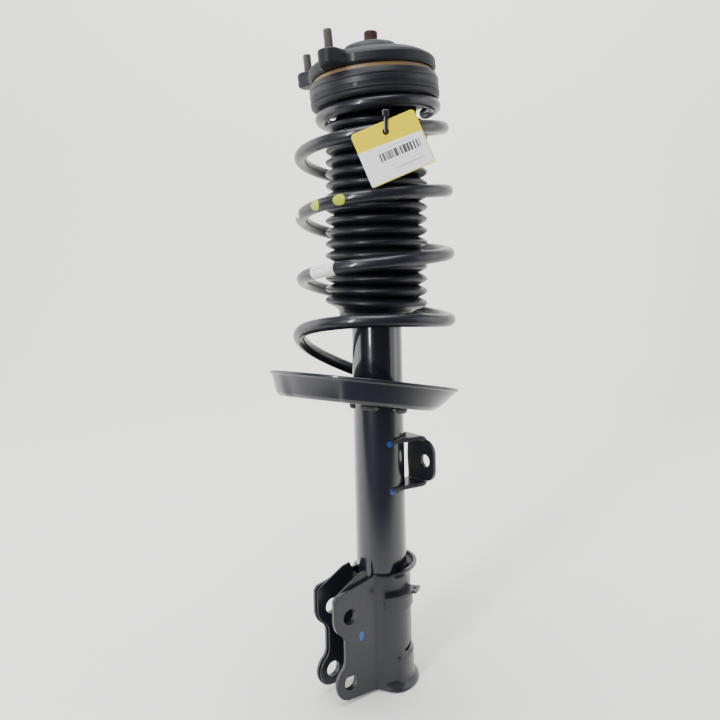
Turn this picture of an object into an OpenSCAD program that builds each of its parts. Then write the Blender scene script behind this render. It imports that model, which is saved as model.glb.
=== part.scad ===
// MacPherson strut assembly: damper, coil spring, dust boot and swivelling top mount.
// The damper axis is Z, the knuckle clevis faces -X and its bolts lie along Y.
// Z = 0 is the bottom face of the damper tube's base cap. All sizes are in millimetres.

/* [Damper tube] */
// Outside diameter of the damper tube
tube_od = 50; // [44:0.5:60]
// Wall thickness of the damper tube
tube_wall = 2.5; // [1.5:0.25:3.5]
// Length of the damper tube
tube_len = 380; // [340:1:420]
// Thickness of the welded base cap
base_cap_t = 6; // [4:0.5:10]

/* [Damper internals] */
// Bore of the inner pressure cylinder
cylinder_id = 32; // [28:0.5:34]
// Wall thickness of the inner pressure cylinder
cylinder_wall = 2; // [1:0.25:2.5]
// Diameter of the piston rod
rod_d = 22; // [18:0.5:24]
// Height of the foot valve
foot_valve_h = 14; // [8:1:24]
// Height of the rod guide
rod_guide_h = 22; // [14:1:30]
// Height of the rod seal
rod_seal_h = 8; // [5:0.5:12]
// Height of the piston
piston_h = 20; // [12:1:30]
// Height of the rebound stop on the rod
rebound_stop_h = 18; // [8:1:30]
// Height of the nut under the piston
piston_nut_h = 10; // [6:1:16]
// Radial running clearance of the rod and of the piston
running_gap = 0.05; // [0.02:0.01:0.1]

/* [Rod end and bump stop] */
// Diameter of the threaded rod end
rod_thread_d = 14; // [10:0.5:16]
// Height of the rod's tip above the dome of the top mount
rod_tip_out = 13.5; // [8:0.5:24]
// Travel from rest until the bump stop meets the tube's end cap
bump_travel = 118; // [80:1:130]
// Outside diameter of the bump stop
bump_stop_d = 44; // [36:1:50]

/* [Knuckle clevis] */
// Thickness of the outer bracket plate
bracket_t = 3.5; // [2.5:0.25:5]
// Thickness of the inner channel plate
channel_t = 2.5; // [2:0.25:4]
// Clear gap between the two ears
clevis_gap = 23; // [18:0.5:30]
// Diameter of the knuckle bolt holes
knuckle_hole_d = 14; // [10:0.5:16]
// Distance from the damper axis to the knuckle bolt holes
knuckle_hole_x = 53; // [48:0.5:65]
// Height of the lower knuckle bolt hole
knuckle_hole_z = 16.5; // [14:0.5:24]
// Spacing of the two knuckle bolt holes
knuckle_hole_pitch = 61; // [54:0.5:70]
// Height of the wrap round the tube
wrap_h = 106; // [98:0.5:120]
// Radius of the ear's rounded corner at the upper hole
upper_lobe_r = 18; // [16:0.5:20]
// Radius of the ear's rounded corner at the lower hole
lower_lobe_r = 16; // [15:0.5:20]
// Distance from the damper axis to the waist between the holes
waist_x = 58.5; // [56:0.5:62]
// Fillet radius at the waist
waist_fillet = 12; // [6:0.5:14]
// How far the flared lips stand out from the wrap
lip_out = 6.5; // [3:0.5:10]

/* [Hose bracket] */
// Height of the hose bracket's shelf above the base
hose_z = 89; // [76:1:98]
// How far the shelf stands out from the wrap
hose_out = 10; // [6:0.5:16]
// Thickness of the hose bracket plate
hose_t = 2.5; // [1.5:0.25:4]

/* [Stabiliser link bracket] */
// Height of the link hole
link_z = 211; // [190:1:240]
// Diameter of the link hole
link_hole_d = 12; // [8:0.5:14]
// Offset of the link hole from the damper axis, towards -Y
link_hole_y = 32; // [30:0.5:38]
// Distance from the damper axis to the outer face of the link plate
link_plate_x = 36; // [34:0.5:44]
// Height of the link bracket
link_h = 50; // [40:1:60]
// Thickness of the link bracket plate
link_t = 4; // [3:0.25:5]

/* [Lower spring seat] */
// Radius of the seat's rim
seat_rim_r = 93; // [88:0.5:96]
// Radius of the seat's floor
seat_floor_r = 81.5; // [80:0.5:86]
// Depth of the dish
seat_depth = 20.5; // [18:0.5:26]
// Sheet thickness of the seat
seat_t = 2.5; // [2:0.25:4]
// Height of the rim plane on the damper axis
seat_z = 289.8; // [270:0.5:300]
// Tilt of the seat
seat_tilt = 12.7; // [0:0.1:14]
// Direction in which the seat is highest
seat_high_az = 200; // [180:1:220]
// Offset of the seat's centre from the damper axis
seat_offset = 15.8; // [10:0.1:17]

/* [Coil spring] */
// Diameter of the spring wire
wire_d = 12.5; // [10:0.25:14]
// Mean radius of the coils
coil_r = 72.5; // [68:0.5:74]
// Mean radius of the closed end coil at the top
coil_top_r = 56.5; // [54:0.5:58]
// Azimuth of the spring's lower end
coil_start = -287; // [-300:1:-260]
// Turns that lie on the lower pad
lower_dead_turns = 0.81; // [0.7:0.01:0.85]
// Active turns
active_turns = 4.13; // [3.8:0.01:5]
// Turns that lie under the upper pad
upper_dead_turns = 0.84; // [0.6:0.01:0.86]

/* [Dust boot] */
// Outside radius of the boot's folds
boot_peak_r = 51; // [46:0.5:53]
// Radius at the bottom of the boot's folds
boot_valley_r = 42.3; // [38:0.1:44]
// Wall thickness of the boot
boot_wall = 1.6; // [1:0.1:2.5]
// Number of folds
boot_folds = 16; // [10:1:18]
// Outside radius of the boot's lower collar
boot_collar_r = 37; // [33:0.5:40]

/* [Top mount] */
// Height of the point where the mount's axis crosses the damper axis
pivot_z = 608.5; // [580:0.5:630]
// Tilt of the top mount against the damper axis
stack_tilt = 4.5; // [0:0.1:6]
// Direction in which the mount is lowest
stack_low_az = 142.7; // [120:0.1:160]
// Outside radius of the upper spring pad and of the bearing
bearing_r = 64.5; // [62:0.5:68]
// Height of the rubber pad on top of the spring
upper_pad_h = 8.2; // [5:0.1:10]
// Thickness of the upper spring seat plate
upper_seat_t = 2.8; // [2:0.1:4]
// Height of the bearing's lower ring
bearing_lower_h = 13.6; // [11:0.1:18]
// Height of the bearing's upper ring
bearing_upper_h = 4; // [3:0.1:12]
// Outside radius of the bearing's upper ring
bearing_upper_r = 59; // [57:0.5:61]
// Number of balls in the bearing
ball_count = 24; // [12:1:30]
// Diameter of a bearing ball
ball_d = 5.4; // [4:0.1:6]
// Pitch radius of the balls
ball_ring_r = 50; // [48:0.5:52]
// Outside radius of the mount plate
mount_r = 63.5; // [60:0.5:66]
// Thickness of the mount plate at its rim
mount_plate_h = 15; // [12:0.5:18]
// Radius of the centre dome
dome_r = 33; // [30:0.5:35]
// Height of the centre dome
dome_h = 17.5; // [14:0.5:22]

/* [Tower studs] */
// Diameter of a tower stud
stud_d = 8.7; // [6:0.1:10]
// Radius of the circle that the studs stand on
stud_ring_r = 68; // [66:0.5:72]
// Height of a stud above its lobe
stud_out = 18.5; // [12:0.5:30]
// Radius of the lobe that carries a stud
lobe_r = 11.5; // [9:0.5:13]

/* [Inspection tag] */
// Width of the card
card_w = 61; // [40:1:70]
// Height of the card
card_h = 51; // [36:1:56]
// Thickness of the card
card_t = 0.8; // [0.5:0.1:2]
// Turn of the hanging card
card_turn = 22; // [0:0.5:30]

/* [Hidden] */
$fn = 96;

// Surfaces on different bodies stay this far apart.
free_gap = 0.3;
// Cutting solids run past the faces that they cut by this much.
over = 1;

tube_r = tube_od / 2;
tube_bore_r = tube_r - tube_wall;
cylinder_r = cylinder_id / 2;
cylinder_out_r = cylinder_r + cylinder_wall;
rod_r = rod_d / 2;
thread_r = rod_thread_d / 2;
spigot_h = 6;
guide_z = tube_len - rod_seal_h - rod_guide_h;
cylinder_z = base_cap_t + foot_valve_h - spigot_h;
end_cap_t = 2;
end_cap_h = 14;
end_cap_top = tube_len + end_cap_t;
rebound_gap = 0.5;
rebound_top = guide_z - spigot_h - rebound_gap;
piston_z = rebound_top - rebound_stop_h - piston_h;

wrap_r = tube_r + bracket_t;
channel_y = clevis_gap / 2;
ear_in_y = channel_y + channel_t;
ear_out_y = ear_in_y + bracket_t;
upper_hole_z = knuckle_hole_z + knuckle_hole_pitch;
ear_tip_x = knuckle_hole_x + upper_lobe_r;
ear_shoulder_z = upper_hole_z + 21.5;
shoulder_x = 27;
lip_r = wrap_r + lip_out;
lip_h = 9;
upper_lip_half_angle = 97;
lower_lip_half_angle = 136;

floor_z = -seat_depth;
seat_az = 171.8;
seat_x = seat_offset * cos(seat_az);
seat_y = seat_offset * sin(seat_az);
seat_slope = tan(seat_tilt);
seat_centre_z = seat_z + seat_slope * seat_offset * cos(seat_az - seat_high_az);
pad_t = 4;

wire_r = wire_d / 2;
wire_gap = 0.4;

// Levels of the top mount, measured along its own axis from the pivot.
plate_bottom = -mount_plate_h;
race_bottom = plate_bottom - bearing_upper_h;
housing_top = race_bottom - 0.4;
housing_bottom = housing_top - bearing_lower_h;
seat_plate_bottom = housing_bottom - upper_seat_t;
pad_bottom = seat_plate_bottom - upper_pad_h;
ball_r = ball_d / 2;
ball_level = race_bottom - 3.9;
race_gap = 0.3;
plate_crown = 3;
dome_top = dome_h;

// Lead of the spring: the height of the wire's centre on the damper axis.
coil_low = coil_start + 360 * lower_dead_turns;
coil_high = coil_low + 360 * active_turns;
coil_end = coil_high + 360 * upper_dead_turns;
low_height = seat_z + (pad_t + wire_r + wire_gap - seat_depth) / cos(seat_tilt);
high_height = pivot_z + pad_bottom - wire_r - wire_gap;
low_corner = 80;
high_corner = 358;
// The wire leaves the seat steeply, by this factor, up to the knee.
low_climb = 2.02;
coil_knee = coil_low + 140.4;
knee_corner = 60;
// How far the coils lean off the damper axis: with the mount's axis at the top, and into the seat below.
stack_lean = 1.4;
low_lean = 9;
// The lower end of the wire is curled in by this much, clear of the dish's wall.
low_curl = 8;
coil_steps_per_turn = 30;
coil_sides = 10;

boot_bottom = tube_len - 29;
boot_collar_h = 13;
boot_fold_z = boot_bottom + boot_collar_h;
boot_fold_top = pivot_z + pad_bottom - wire_d - 2.4;
boot_neck_r = boot_valley_r - 2.3;
boot_top = pivot_z + seat_plate_bottom - 4.4;
boot_pitch = (boot_fold_top - boot_fold_z) / boot_folds;

bump_bottom = end_cap_top + bump_travel;
sleeve_r = 12;
rod_shoulder_z = pivot_z - 12;
sleeve_h = 11;
washer_t = 2;
nut_h = 9;
rod_top = pivot_z + dome_h + rod_tip_out;

stud_azimuths = [197, 124, 4];
// The plate's revolved surface closes here, clear of the lobes.
plate_seam_az = 60;
stud_shank_d = stud_d + 1;

function clamp01(t) = min(max(t, 0), 1);
function ease(t) = (1 - cos(180 * clamp01(t))) / 2;
function corner(x, r) = x < -r / 2 ? 0 : x > r / 2 ? x : pow(x + r / 2, 2) / (2 * r);
function lead(a) = (low_climb * corner(a - coil_low, low_corner)
        - (low_climb - 1) * corner(a - coil_knee, knee_corner) - corner(a - coil_high, high_corner))
    / (coil_high - coil_low + (low_climb - 1) * (coil_knee - coil_low));
// How much the coils still follow the seat's tilt, and how much they still lean into the seat.
function low_share(a) = 1 - 0.68 * ease((a - coil_low - 225) / 330) - 0.32 * ease((a - coil_low - 895) / 500);
function lean_share(a) = 1 - ease((a - coil_low + 60) / 420);
function high_share(a) = ease((a - coil_high + 130) / 200);
function wire_radius(a) = coil_r + (coil_top_r - coil_r) * ease((a - coil_high + 180) / 270)
    - low_curl * ease((coil_low + 120 - a) / 140);
function wire_height(a) = low_height + (high_height - low_height) * lead(a)
    + seat_slope * low_share(a) * (wire_radius(a) * cos(a - seat_high_az)
        + low_lean * lean_share(a) * cos(stack_low_az - seat_high_az))
    - tan(stack_tilt) * wire_radius(a) * cos(a - stack_low_az) * high_share(a);
function coil_shift(a) = high_share(a) * stack_lean * sin(stack_tilt) * (pivot_z - high_height)
    - low_lean * lean_share(a);
function wire_centre(a) = [
    wire_radius(a) * cos(a) - coil_shift(a) * cos(stack_low_az),
    wire_radius(a) * sin(a) - coil_shift(a) * sin(stack_low_az),
    wire_height(a)
];
function unit(v) = v / norm(v);

module on_seat() {
    translate([seat_x, seat_y, seat_centre_z])
        rotate([0, 0, seat_high_az + 180])
            rotate([0, seat_tilt, 0])
                rotate([0, 0, -seat_high_az - 180])
                    children();
}

module on_stack() {
    translate([0, 0, pivot_z])
        rotate([0, 0, stack_low_az])
            rotate([0, stack_tilt, 0])
                rotate([0, 0, -stack_low_az])
                    children();
}

module ring(r_in, r_out, z0, z1) {
    translate([0, 0, z0])
        difference() {
            cylinder(r = r_out, h = z1 - z0);
            translate([0, 0, -over]) cylinder(r = r_in, h = z1 - z0 + 2 * over);
        }
}

// ---- damper tube and internals ----

module outer_tube() {
    color([0.06, 0.06, 0.07]) ring(tube_bore_r, tube_r, 0, tube_len);
}

module base_cap() {
    color([0.07, 0.07, 0.08])
        difference() {
            cylinder(r = tube_bore_r, h = base_cap_t);
            translate([0, 0, base_cap_t - 2]) cylinder(r = cylinder_out_r - 1.5, h = 2 + over);
        }
}

module inner_cylinder() {
    color([0.6, 0.62, 0.65]) ring(cylinder_r, cylinder_out_r, cylinder_z, guide_z);
}

module foot_valve() {
    color([0.5, 0.5, 0.52])
        difference() {
            union() {
                translate([0, 0, base_cap_t]) cylinder(r = cylinder_out_r, h = foot_valve_h - spigot_h);
                translate([0, 0, base_cap_t]) cylinder(r = cylinder_r, h = foot_valve_h);
            }
            for (a = [0 : 60 : 300])
                rotate([0, 0, a])
                    translate([cylinder_r * 0.6, 0, base_cap_t - over])
                        cylinder(r = 1.5, h = foot_valve_h + 2 * over);
        }
}

module rod_guide() {
    color([0.55, 0.55, 0.57])
        difference() {
            union() {
                translate([0, 0, guide_z]) cylinder(r = tube_bore_r, h = rod_guide_h);
                translate([0, 0, guide_z - spigot_h]) cylinder(r = cylinder_r, h = spigot_h + over);
            }
            translate([0, 0, guide_z - spigot_h - over])
                cylinder(r = rod_r + running_gap, h = rod_guide_h + spigot_h + 2 * over);
        }
}

module rod_seal() {
    color([0.1, 0.1, 0.1]) ring(rod_r + running_gap, tube_bore_r, tube_len - rod_seal_h, tube_len);
}

module tube_end_cap() {
    cap_r = tube_r + end_cap_t;
    color([0.3, 0.31, 0.33])
        difference() {
            translate([0, 0, tube_len + end_cap_t - end_cap_h]) cylinder(r = cap_r, h = end_cap_h);
            translate([0, 0, tube_len + end_cap_t - end_cap_h - over])
                cylinder(r = tube_r, h = end_cap_h - end_cap_t + over);
            translate([0, 0, tube_len - over]) cylinder(r = rod_r + 2, h = end_cap_t + 2 * over);
        }
}

module boot_ring() {
    ring_top = tube_len + end_cap_t - end_cap_h;
    color([0.09, 0.09, 0.1])
        rotate_extrude()
            polygon([
                [tube_r, ring_top - 14], [tube_r + 5, ring_top - 14],
                [boot_collar_r - boot_wall - free_gap, ring_top - 9],
                [boot_collar_r - boot_wall - free_gap, ring_top - 3],
                [tube_r + 5, ring_top], [tube_r, ring_top]
            ]);
}

module piston_rod() {
    color([0.75, 0.76, 0.78])
        union() {
            translate([0, 0, piston_z]) cylinder(r = rod_r, h = rod_shoulder_z - piston_z);
            translate([0, 0, rod_shoulder_z - over]) cylinder(r = thread_r, h = rod_top - rod_shoulder_z);
            translate([0, 0, rod_top - over]) cylinder(r1 = thread_r, r2 = thread_r - 1, h = over);
            translate([0, 0, piston_z - piston_nut_h - 2])
                cylinder(r = thread_r, h = piston_nut_h + 2 + over);
        }
}

module piston() {
    groove = 1.2;
    color([0.5, 0.5, 0.52])
        difference() {
            translate([0, 0, piston_z]) cylinder(r = cylinder_r - running_gap, h = piston_h);
            translate([0, 0, piston_z - over]) cylinder(r = rod_r, h = piston_h + 2 * over);
            ring(cylinder_r - running_gap - groove, cylinder_r + over, piston_z + 5, piston_z + piston_h - 5);
        }
}

module piston_band() {
    groove = 1.2;
    color([0.12, 0.12, 0.12])
        ring(cylinder_r - running_gap - groove, cylinder_r - running_gap,
            piston_z + 5, piston_z + piston_h - 5);
}

module piston_nut() {
    color([0.4, 0.4, 0.42])
        difference() {
            translate([0, 0, piston_z - piston_nut_h]) cylinder(r = rod_r + 1, h = piston_nut_h, $fn = 6);
            translate([0, 0, piston_z - piston_nut_h - over])
                cylinder(r = thread_r, h = piston_nut_h + 2 * over);
        }
}

module rebound_stop() {
    color([0.85, 0.82, 0.7]) ring(rod_r, cylinder_r - 1.5, rebound_top - rebound_stop_h, rebound_top);
}

// ---- knuckle bracket ----

// A point on the side outline: distance from the damper axis towards the ears, and height.
function side(a, z) = [-a, z];
// The waist fillets cut into the lobes by this much, so that the outline has no bare tangent point.
fillet_bite = 0.02;
upper_reach = upper_lobe_r + waist_fillet - fillet_bite;
lower_reach = lower_lobe_r + waist_fillet - fillet_bite;
upper_fillet_dz = sqrt(pow(upper_reach, 2) - pow(waist_x + waist_fillet - knuckle_hole_x, 2));
lower_fillet_dz = sqrt(pow(lower_reach, 2) - pow(waist_x + waist_fillet - knuckle_hole_x, 2));
upper_fillet = [waist_x + waist_fillet, upper_hole_z - upper_fillet_dz];
lower_fillet = [waist_x + waist_fillet, knuckle_hole_z + lower_fillet_dz];
upper_touch = [knuckle_hole_x, upper_hole_z]
    + upper_lobe_r / (upper_lobe_r + waist_fillet) * (upper_fillet - [knuckle_hole_x, upper_hole_z]);
lower_touch = [knuckle_hole_x, knuckle_hole_z]
    + lower_lobe_r / (lower_lobe_r + waist_fillet) * (lower_fillet - [knuckle_hole_x, knuckle_hole_z]);

module ear_outline(inset, crest) {
    root_x = tube_r * 0.7;
    difference() {
        union() {
            translate(side(knuckle_hole_x, upper_hole_z)) circle(r = upper_lobe_r - inset);
            translate(side(knuckle_hole_x, knuckle_hole_z)) circle(r = lower_lobe_r - inset);
            polygon(concat([
                side(root_x, 0), side(knuckle_hole_x, knuckle_hole_z - lower_lobe_r + inset),
                side(knuckle_hole_x, knuckle_hole_z), side(lower_touch[0] - inset, lower_touch[1]),
                side(lower_fillet[0], lower_fillet[1]), side(upper_fillet[0], upper_fillet[1]),
                side(upper_touch[0] - inset, upper_touch[1]), side(knuckle_hole_x, upper_hole_z),
                side(ear_tip_x - inset, upper_hole_z), side(ear_tip_x - inset, ear_shoulder_z - 3),
                side(ear_tip_x - 3 - inset, ear_shoulder_z + 1 - inset)
            ], crest, [side(root_x, crest[len(crest) - 1][1])]));
        }
        translate(side(upper_fillet[0], upper_fillet[1])) circle(r = waist_fillet + inset);
        translate(side(lower_fillet[0], lower_fillet[1])) circle(r = waist_fillet + inset);
    }
}

// crest lists the points of the ear's upper edge, from the tip towards the tube.
module ear_slab(y0, y1, inset, crest) {
    for (s = [-1, 1])
        translate([0, s > 0 ? y1 : -y0, 0])
            rotate([90, 0, 0])
                linear_extrude(height = y1 - y0) ear_outline(inset, crest);
}

module knuckle_holes() {
    for (z = [knuckle_hole_z, upper_hole_z])
        translate([-knuckle_hole_x, 0, z])
            rotate([90, 0, 0])
                cylinder(d = knuckle_hole_d, h = 2 * ear_out_y + 2 * over, center = true);
}

module flared_lip(z, dir, half_angle) {
    rotate_extrude(angle = 2 * half_angle, start = -half_angle)
        polygon([
            [tube_r, z], [wrap_r, z], [lip_r, z + dir * (lip_h - 2.5)], [lip_r, z + dir * lip_h],
            [lip_r - 2, z + dir * lip_h], [tube_r, z + dir * 2]
        ]);
}

module knuckle_bracket() {
    belt_r = wrap_r + 1.8;
    louvre_az = -58;
    color([0.08, 0.08, 0.09])
        difference() {
            union() {
                difference() {
                    cylinder(r = wrap_r, h = wrap_h);
                    translate([-2 * wrap_r, -ear_in_y, -over])
                        cube([2 * wrap_r, 2 * ear_in_y, wrap_h + 2 * over]);
                }
                ear_slab(ear_in_y, ear_out_y, 0, [side(shoulder_x, wrap_h + 1)]);
                flared_lip(wrap_h - 2.5, 1, upper_lip_half_angle);
                intersection() {
                    flared_lip(5.5, -1, lower_lip_half_angle);
                    translate([-50, -50, -3.5]) cube([100, 100, 20]);
                }
                rotate_extrude(angle = 200, start = -100)
                    polygon([[tube_r, 4], [belt_r, 4], [belt_r, 26], [wrap_r, 28], [tube_r, 28]]);
            }
            translate([0, 0, -10]) cylinder(r = tube_r, h = wrap_h + 30);
            knuckle_holes();
            rotate([0, 0, louvre_az])
                translate([belt_r, 0, 28])
                    rotate([25, 0, 0])
                        rotate([0, 90, 0])
                            cylinder(r = 5.5, h = 3, center = true);
        }
}

module clevis_channel() {
    channel_r = tube_r + channel_t;
    color([0.1, 0.09, 0.09])
        difference() {
            union() {
                ear_slab(channel_y, ear_in_y, 1.5,
                    [side(shoulder_x + 12, wrap_h + 6), side(shoulder_x - 7, wrap_h + 9)]);
                intersection() {
                    translate([0, 0, 8]) cylinder(r = channel_r, h = wrap_h - 12);
                    translate([-2 * tube_r, -ear_in_y, 0]) cube([2 * tube_r - 10, 2 * ear_in_y, wrap_h]);
                }
            }
            translate([0, 0, -over]) cylinder(r = tube_r, h = wrap_h + 30);
            knuckle_holes();
        }
}

module hose_bracket() {
    saddle_r = wrap_r + hose_t;
    saddle_h = 17;
    shelf_r = wrap_r + hose_out;
    start_az = -124;
    end_az = -50;
    tab_angle = 22;
    shelf_low = hose_z - hose_t;
    color([0.07, 0.07, 0.09])
        difference() {
            union() {
                rotate_extrude(angle = end_az - start_az, start = start_az)
                    polygon([[wrap_r, hose_z - saddle_h], [saddle_r, hose_z - saddle_h],
                        [saddle_r, shelf_low], [wrap_r + 7, shelf_low],
                        [wrap_r + 7, hose_z], [wrap_r, hose_z]]);
                rotate_extrude(angle = tab_angle, start = end_az - tab_angle)
                    polygon([[wrap_r + 1, shelf_low], [shelf_r, shelf_low],
                        [shelf_r, hose_z], [wrap_r + 1, hose_z]]);
            }
            rotate([0, 0, end_az - tab_angle / 2])
                translate([shelf_r - 4, 0, shelf_low - over]) cylinder(r = 2, h = hose_t + 2 * over);
        }
}

// ---- stabiliser link bracket ----

module link_bracket() {
    bottom = link_z - link_h / 2;
    plate_in_x = link_plate_x - link_t;
    near_y = -5;
    far_y = -link_hole_y - 12;
    corner_r = 12;
    color([0.07, 0.07, 0.08])
        difference() {
            union() {
                intersection() {
                    translate([plate_in_x, far_y, bottom]) cube([link_t, near_y - far_y, link_h]);
                    union() {
                        translate([0, far_y + corner_r, bottom]) cube([60, 60, link_h]);
                        translate([0, far_y, bottom + corner_r]) cube([60, 60, link_h - 2 * corner_r]);
                        for (z = [bottom + corner_r, bottom + link_h - corner_r])
                            translate([0, far_y + corner_r, z])
                                rotate([0, 90, 0]) cylinder(r = corner_r, h = 60);
                    }
                }
                for (z = [bottom, bottom + link_h - link_t])
                    translate([0, 0, z])
                        linear_extrude(height = link_t)
                            polygon([
                                [plate_in_x + over, near_y], [plate_in_x + over, far_y + corner_r],
                                [-5, -tube_r + 0.5], [0, 0], [tube_r - 1, near_y]
                            ]);
                translate([link_plate_x - over, -link_hole_y, link_z])
                    rotate([0, 90, 0]) cylinder(d = link_hole_d + 8, h = 2.2);
            }
            translate([0, 0, bottom - over]) cylinder(r = tube_r, h = link_h + 2 * over);
            translate([0, -link_hole_y, link_z]) rotate([0, 90, 0]) cylinder(d = link_hole_d, h = 60);
        }
}

module link_weld() {
    bead_r = 2;
    color([0.12, 0.12, 0.13])
        difference() {
            for (z = [link_z - link_h / 2, link_z + link_h / 2])
                translate([0, 0, z])
                    rotate_extrude(angle = 78, start = -96)
                        translate([tube_r, 0]) circle(r = bead_r, $fn = 24);
            translate([0, 0, link_z - link_h]) cylinder(r = tube_r, h = 2 * link_h);
            ring(0, 3 * tube_r, link_z - link_h / 2, link_z + link_h / 2);
        }
}

// ---- lower spring seat ----

module lower_spring_seat() {
    neck_r = tube_r + 3;
    neck_h = 12;
    neck_drop = 12;
    color([0.07, 0.07, 0.08])
        difference() {
            union() {
                on_seat()
                    rotate_extrude()
                        polygon([
                            [0, floor_z], [seat_floor_r - 2, floor_z], [seat_floor_r, floor_z + 2],
                            [seat_rim_r - 6, -seat_t], [seat_rim_r - 4, 0], [seat_rim_r, 0],
                            [seat_rim_r, -seat_t], [seat_rim_r - 2.5, -seat_t - 1],
                            [seat_floor_r + 3, floor_z + 1], [seat_floor_r - 1, floor_z - seat_t],
                            [0, floor_z - seat_t]
                        ]);
                difference() {
                    translate([0, 0, seat_z - seat_depth - neck_drop])
                        cylinder(r = neck_r, h = neck_drop + neck_h);
                    on_seat()
                        translate([0, 0, floor_z - seat_t / 2 - 60])
                            cylinder(r = seat_floor_r, h = 60);
                }
            }
            translate([0, 0, seat_z - seat_depth - 40]) cylinder(r = tube_r, h = 80);
        }
}

module seat_weld() {
    bead = 3.5;
    color([0.13, 0.13, 0.14])
        difference() {
            on_seat()
                translate([-seat_x, -seat_y, floor_z - seat_t - bead])
                    cylinder(r1 = tube_r + 0.5, r2 = tube_r + bead + 0.5, h = bead);
            translate([0, 0, seat_z - seat_depth - 40]) cylinder(r = tube_r, h = 80);
        }
}

module lower_spring_pad() {
    inner_r = coil_r - low_curl - 6;
    outer_r = coil_r - low_curl + 5;
    color([0.05, 0.05, 0.05])
        on_seat()
            translate([low_lean * cos(stack_low_az) - seat_x, low_lean * sin(stack_low_az) - seat_y, floor_z])
                rotate([0, 0, coil_start + 370])
                    rotate_extrude(angle = 360 * lower_dead_turns - 42)
                        polygon([[inner_r, 0], [outer_r, 0], [outer_r, pad_t], [inner_r, pad_t]]);
}

// ---- coil spring: one closed sweep of the wire along its lead ----

module coil_spring() {
    rings = ceil((coil_end - coil_start) / 360 * coil_steps_per_turn);
    step = (coil_end - coil_start) / rings;
    points = [
        for (i = [0 : rings])
            let (
                a = coil_start + i * step,
                c = wire_centre(a),
                t = unit(wire_centre(a + 1) - wire_centre(a - 1)),
                n = unit(cross(t, [0, 0, 1])),
                b = cross(n, t)
            )
            for (k = [0 : coil_sides - 1])
                c + wire_r * (cos(360 * k / coil_sides) * n + sin(360 * k / coil_sides) * b)
    ];
    sides = [
        for (i = [0 : rings - 1])
            for (k = [0 : coil_sides - 1])
                let (p = i * coil_sides + k, q = i * coil_sides + (k + 1) % coil_sides)
                [p, q, q + coil_sides, p + coil_sides]
    ];
    first = [for (k = [coil_sides - 1 : -1 : 0]) k];
    last = [for (k = [0 : coil_sides - 1]) rings * coil_sides + k];
    color([0.05, 0.05, 0.06])
        polyhedron(points = points, faces = concat([first], sides, [last]), convexity = 12);
}

// ---- dust boot ----

function boot_fold(i, inner) = let (z = boot_fold_z + i * boot_pitch) [
    [boot_valley_r - inner, z], [boot_peak_r - inner, z + boot_pitch / 2]
];

module dust_boot() {
    outer = [for (i = [0 : boot_folds - 1]) for (p = boot_fold(i, 0)) p];
    inner = [for (i = [boot_folds - 1 : -1 : 0]) for (k = [1, 0]) boot_fold(i, boot_wall * 1.8)[k]];
    color([0.06, 0.06, 0.07])
        rotate_extrude()
            polygon(concat(
                [[boot_collar_r - boot_wall, boot_bottom], [boot_collar_r, boot_bottom],
                    [boot_collar_r, boot_fold_z - 3]],
                outer,
                [[boot_valley_r, boot_fold_top], [boot_neck_r, boot_fold_top + 4], [boot_neck_r, boot_top],
                    [boot_neck_r - boot_wall, boot_top], [boot_neck_r - boot_wall, boot_fold_top]],
                inner,
                [[boot_collar_r - boot_wall, boot_fold_z - 3]]
            ));
}

// ---- upper spring seat and bearing ----

module upper_spring_pad() {
    color([0.08, 0.08, 0.09])
        on_stack()
            rotate_extrude()
                polygon([
                    [coil_top_r - wire_r - 2, pad_bottom], [bearing_r - 2, pad_bottom],
                    [bearing_r - 0.5, pad_bottom + 1.5], [bearing_r, pad_bottom + 3],
                    [bearing_r, seat_plate_bottom], [coil_top_r - wire_r - 2, seat_plate_bottom]
                ]);
}

module upper_spring_seat() {
    neck_r = coil_top_r - wire_r - 2;
    color([0.1, 0.1, 0.11])
        on_stack()
            rotate_extrude()
                polygon([
                    [rod_r + 8, seat_plate_bottom], [neck_r - upper_seat_t, seat_plate_bottom],
                    [neck_r - upper_seat_t, pad_bottom], [neck_r, pad_bottom],
                    [neck_r, seat_plate_bottom], [bearing_r - 0.4, seat_plate_bottom],
                    [bearing_r - 0.4, housing_bottom], [rod_r + 8, housing_bottom]
                ]);
}

module bump_stop() {
    r = bump_stop_d / 2;
    bore = rod_r + 1;
    top = pivot_z + housing_bottom;
    h = top - bump_bottom;
    color([0.8, 0.75, 0.5])
        difference() {
            rotate_extrude()
                polygon([
                    [bore, bump_bottom], [r - 7, bump_bottom], [r - 4, bump_bottom + 0.22 * h],
                    [r - 6, bump_bottom + 0.3 * h], [r - 1, bump_bottom + 0.45 * h],
                    [r - 4, bump_bottom + 0.6 * h], [r, bump_bottom + 0.72 * h], [r, top], [bore, top]
                ]);
            on_stack() translate([0, 0, seat_plate_bottom]) cylinder(r = 2 * r, h = h);
        }
}

module ball_race(r) {
    rotate_extrude() translate([ball_ring_r, ball_level]) circle(r = r, $fn = 32);
}

module bearing_lower_ring() {
    pocket = 6.2;
    color([0.09, 0.09, 0.1])
        on_stack()
            difference() {
                rotate_extrude()
                    polygon([
                        [ball_ring_r - 14, housing_bottom], [bearing_r - 0.6, housing_bottom],
                        [bearing_r, housing_bottom + 1], [bearing_r, housing_top - 4],
                        [bearing_r - 2.5, housing_top], [ball_ring_r + pocket, housing_top],
                        [ball_ring_r + pocket, ball_level - 1.7], [ball_ring_r - pocket, ball_level - 1.7],
                        [ball_ring_r - pocket, housing_top], [ball_ring_r - 14, housing_top]
                    ]);
                ball_race(ball_r + race_gap);
            }
}

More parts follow.
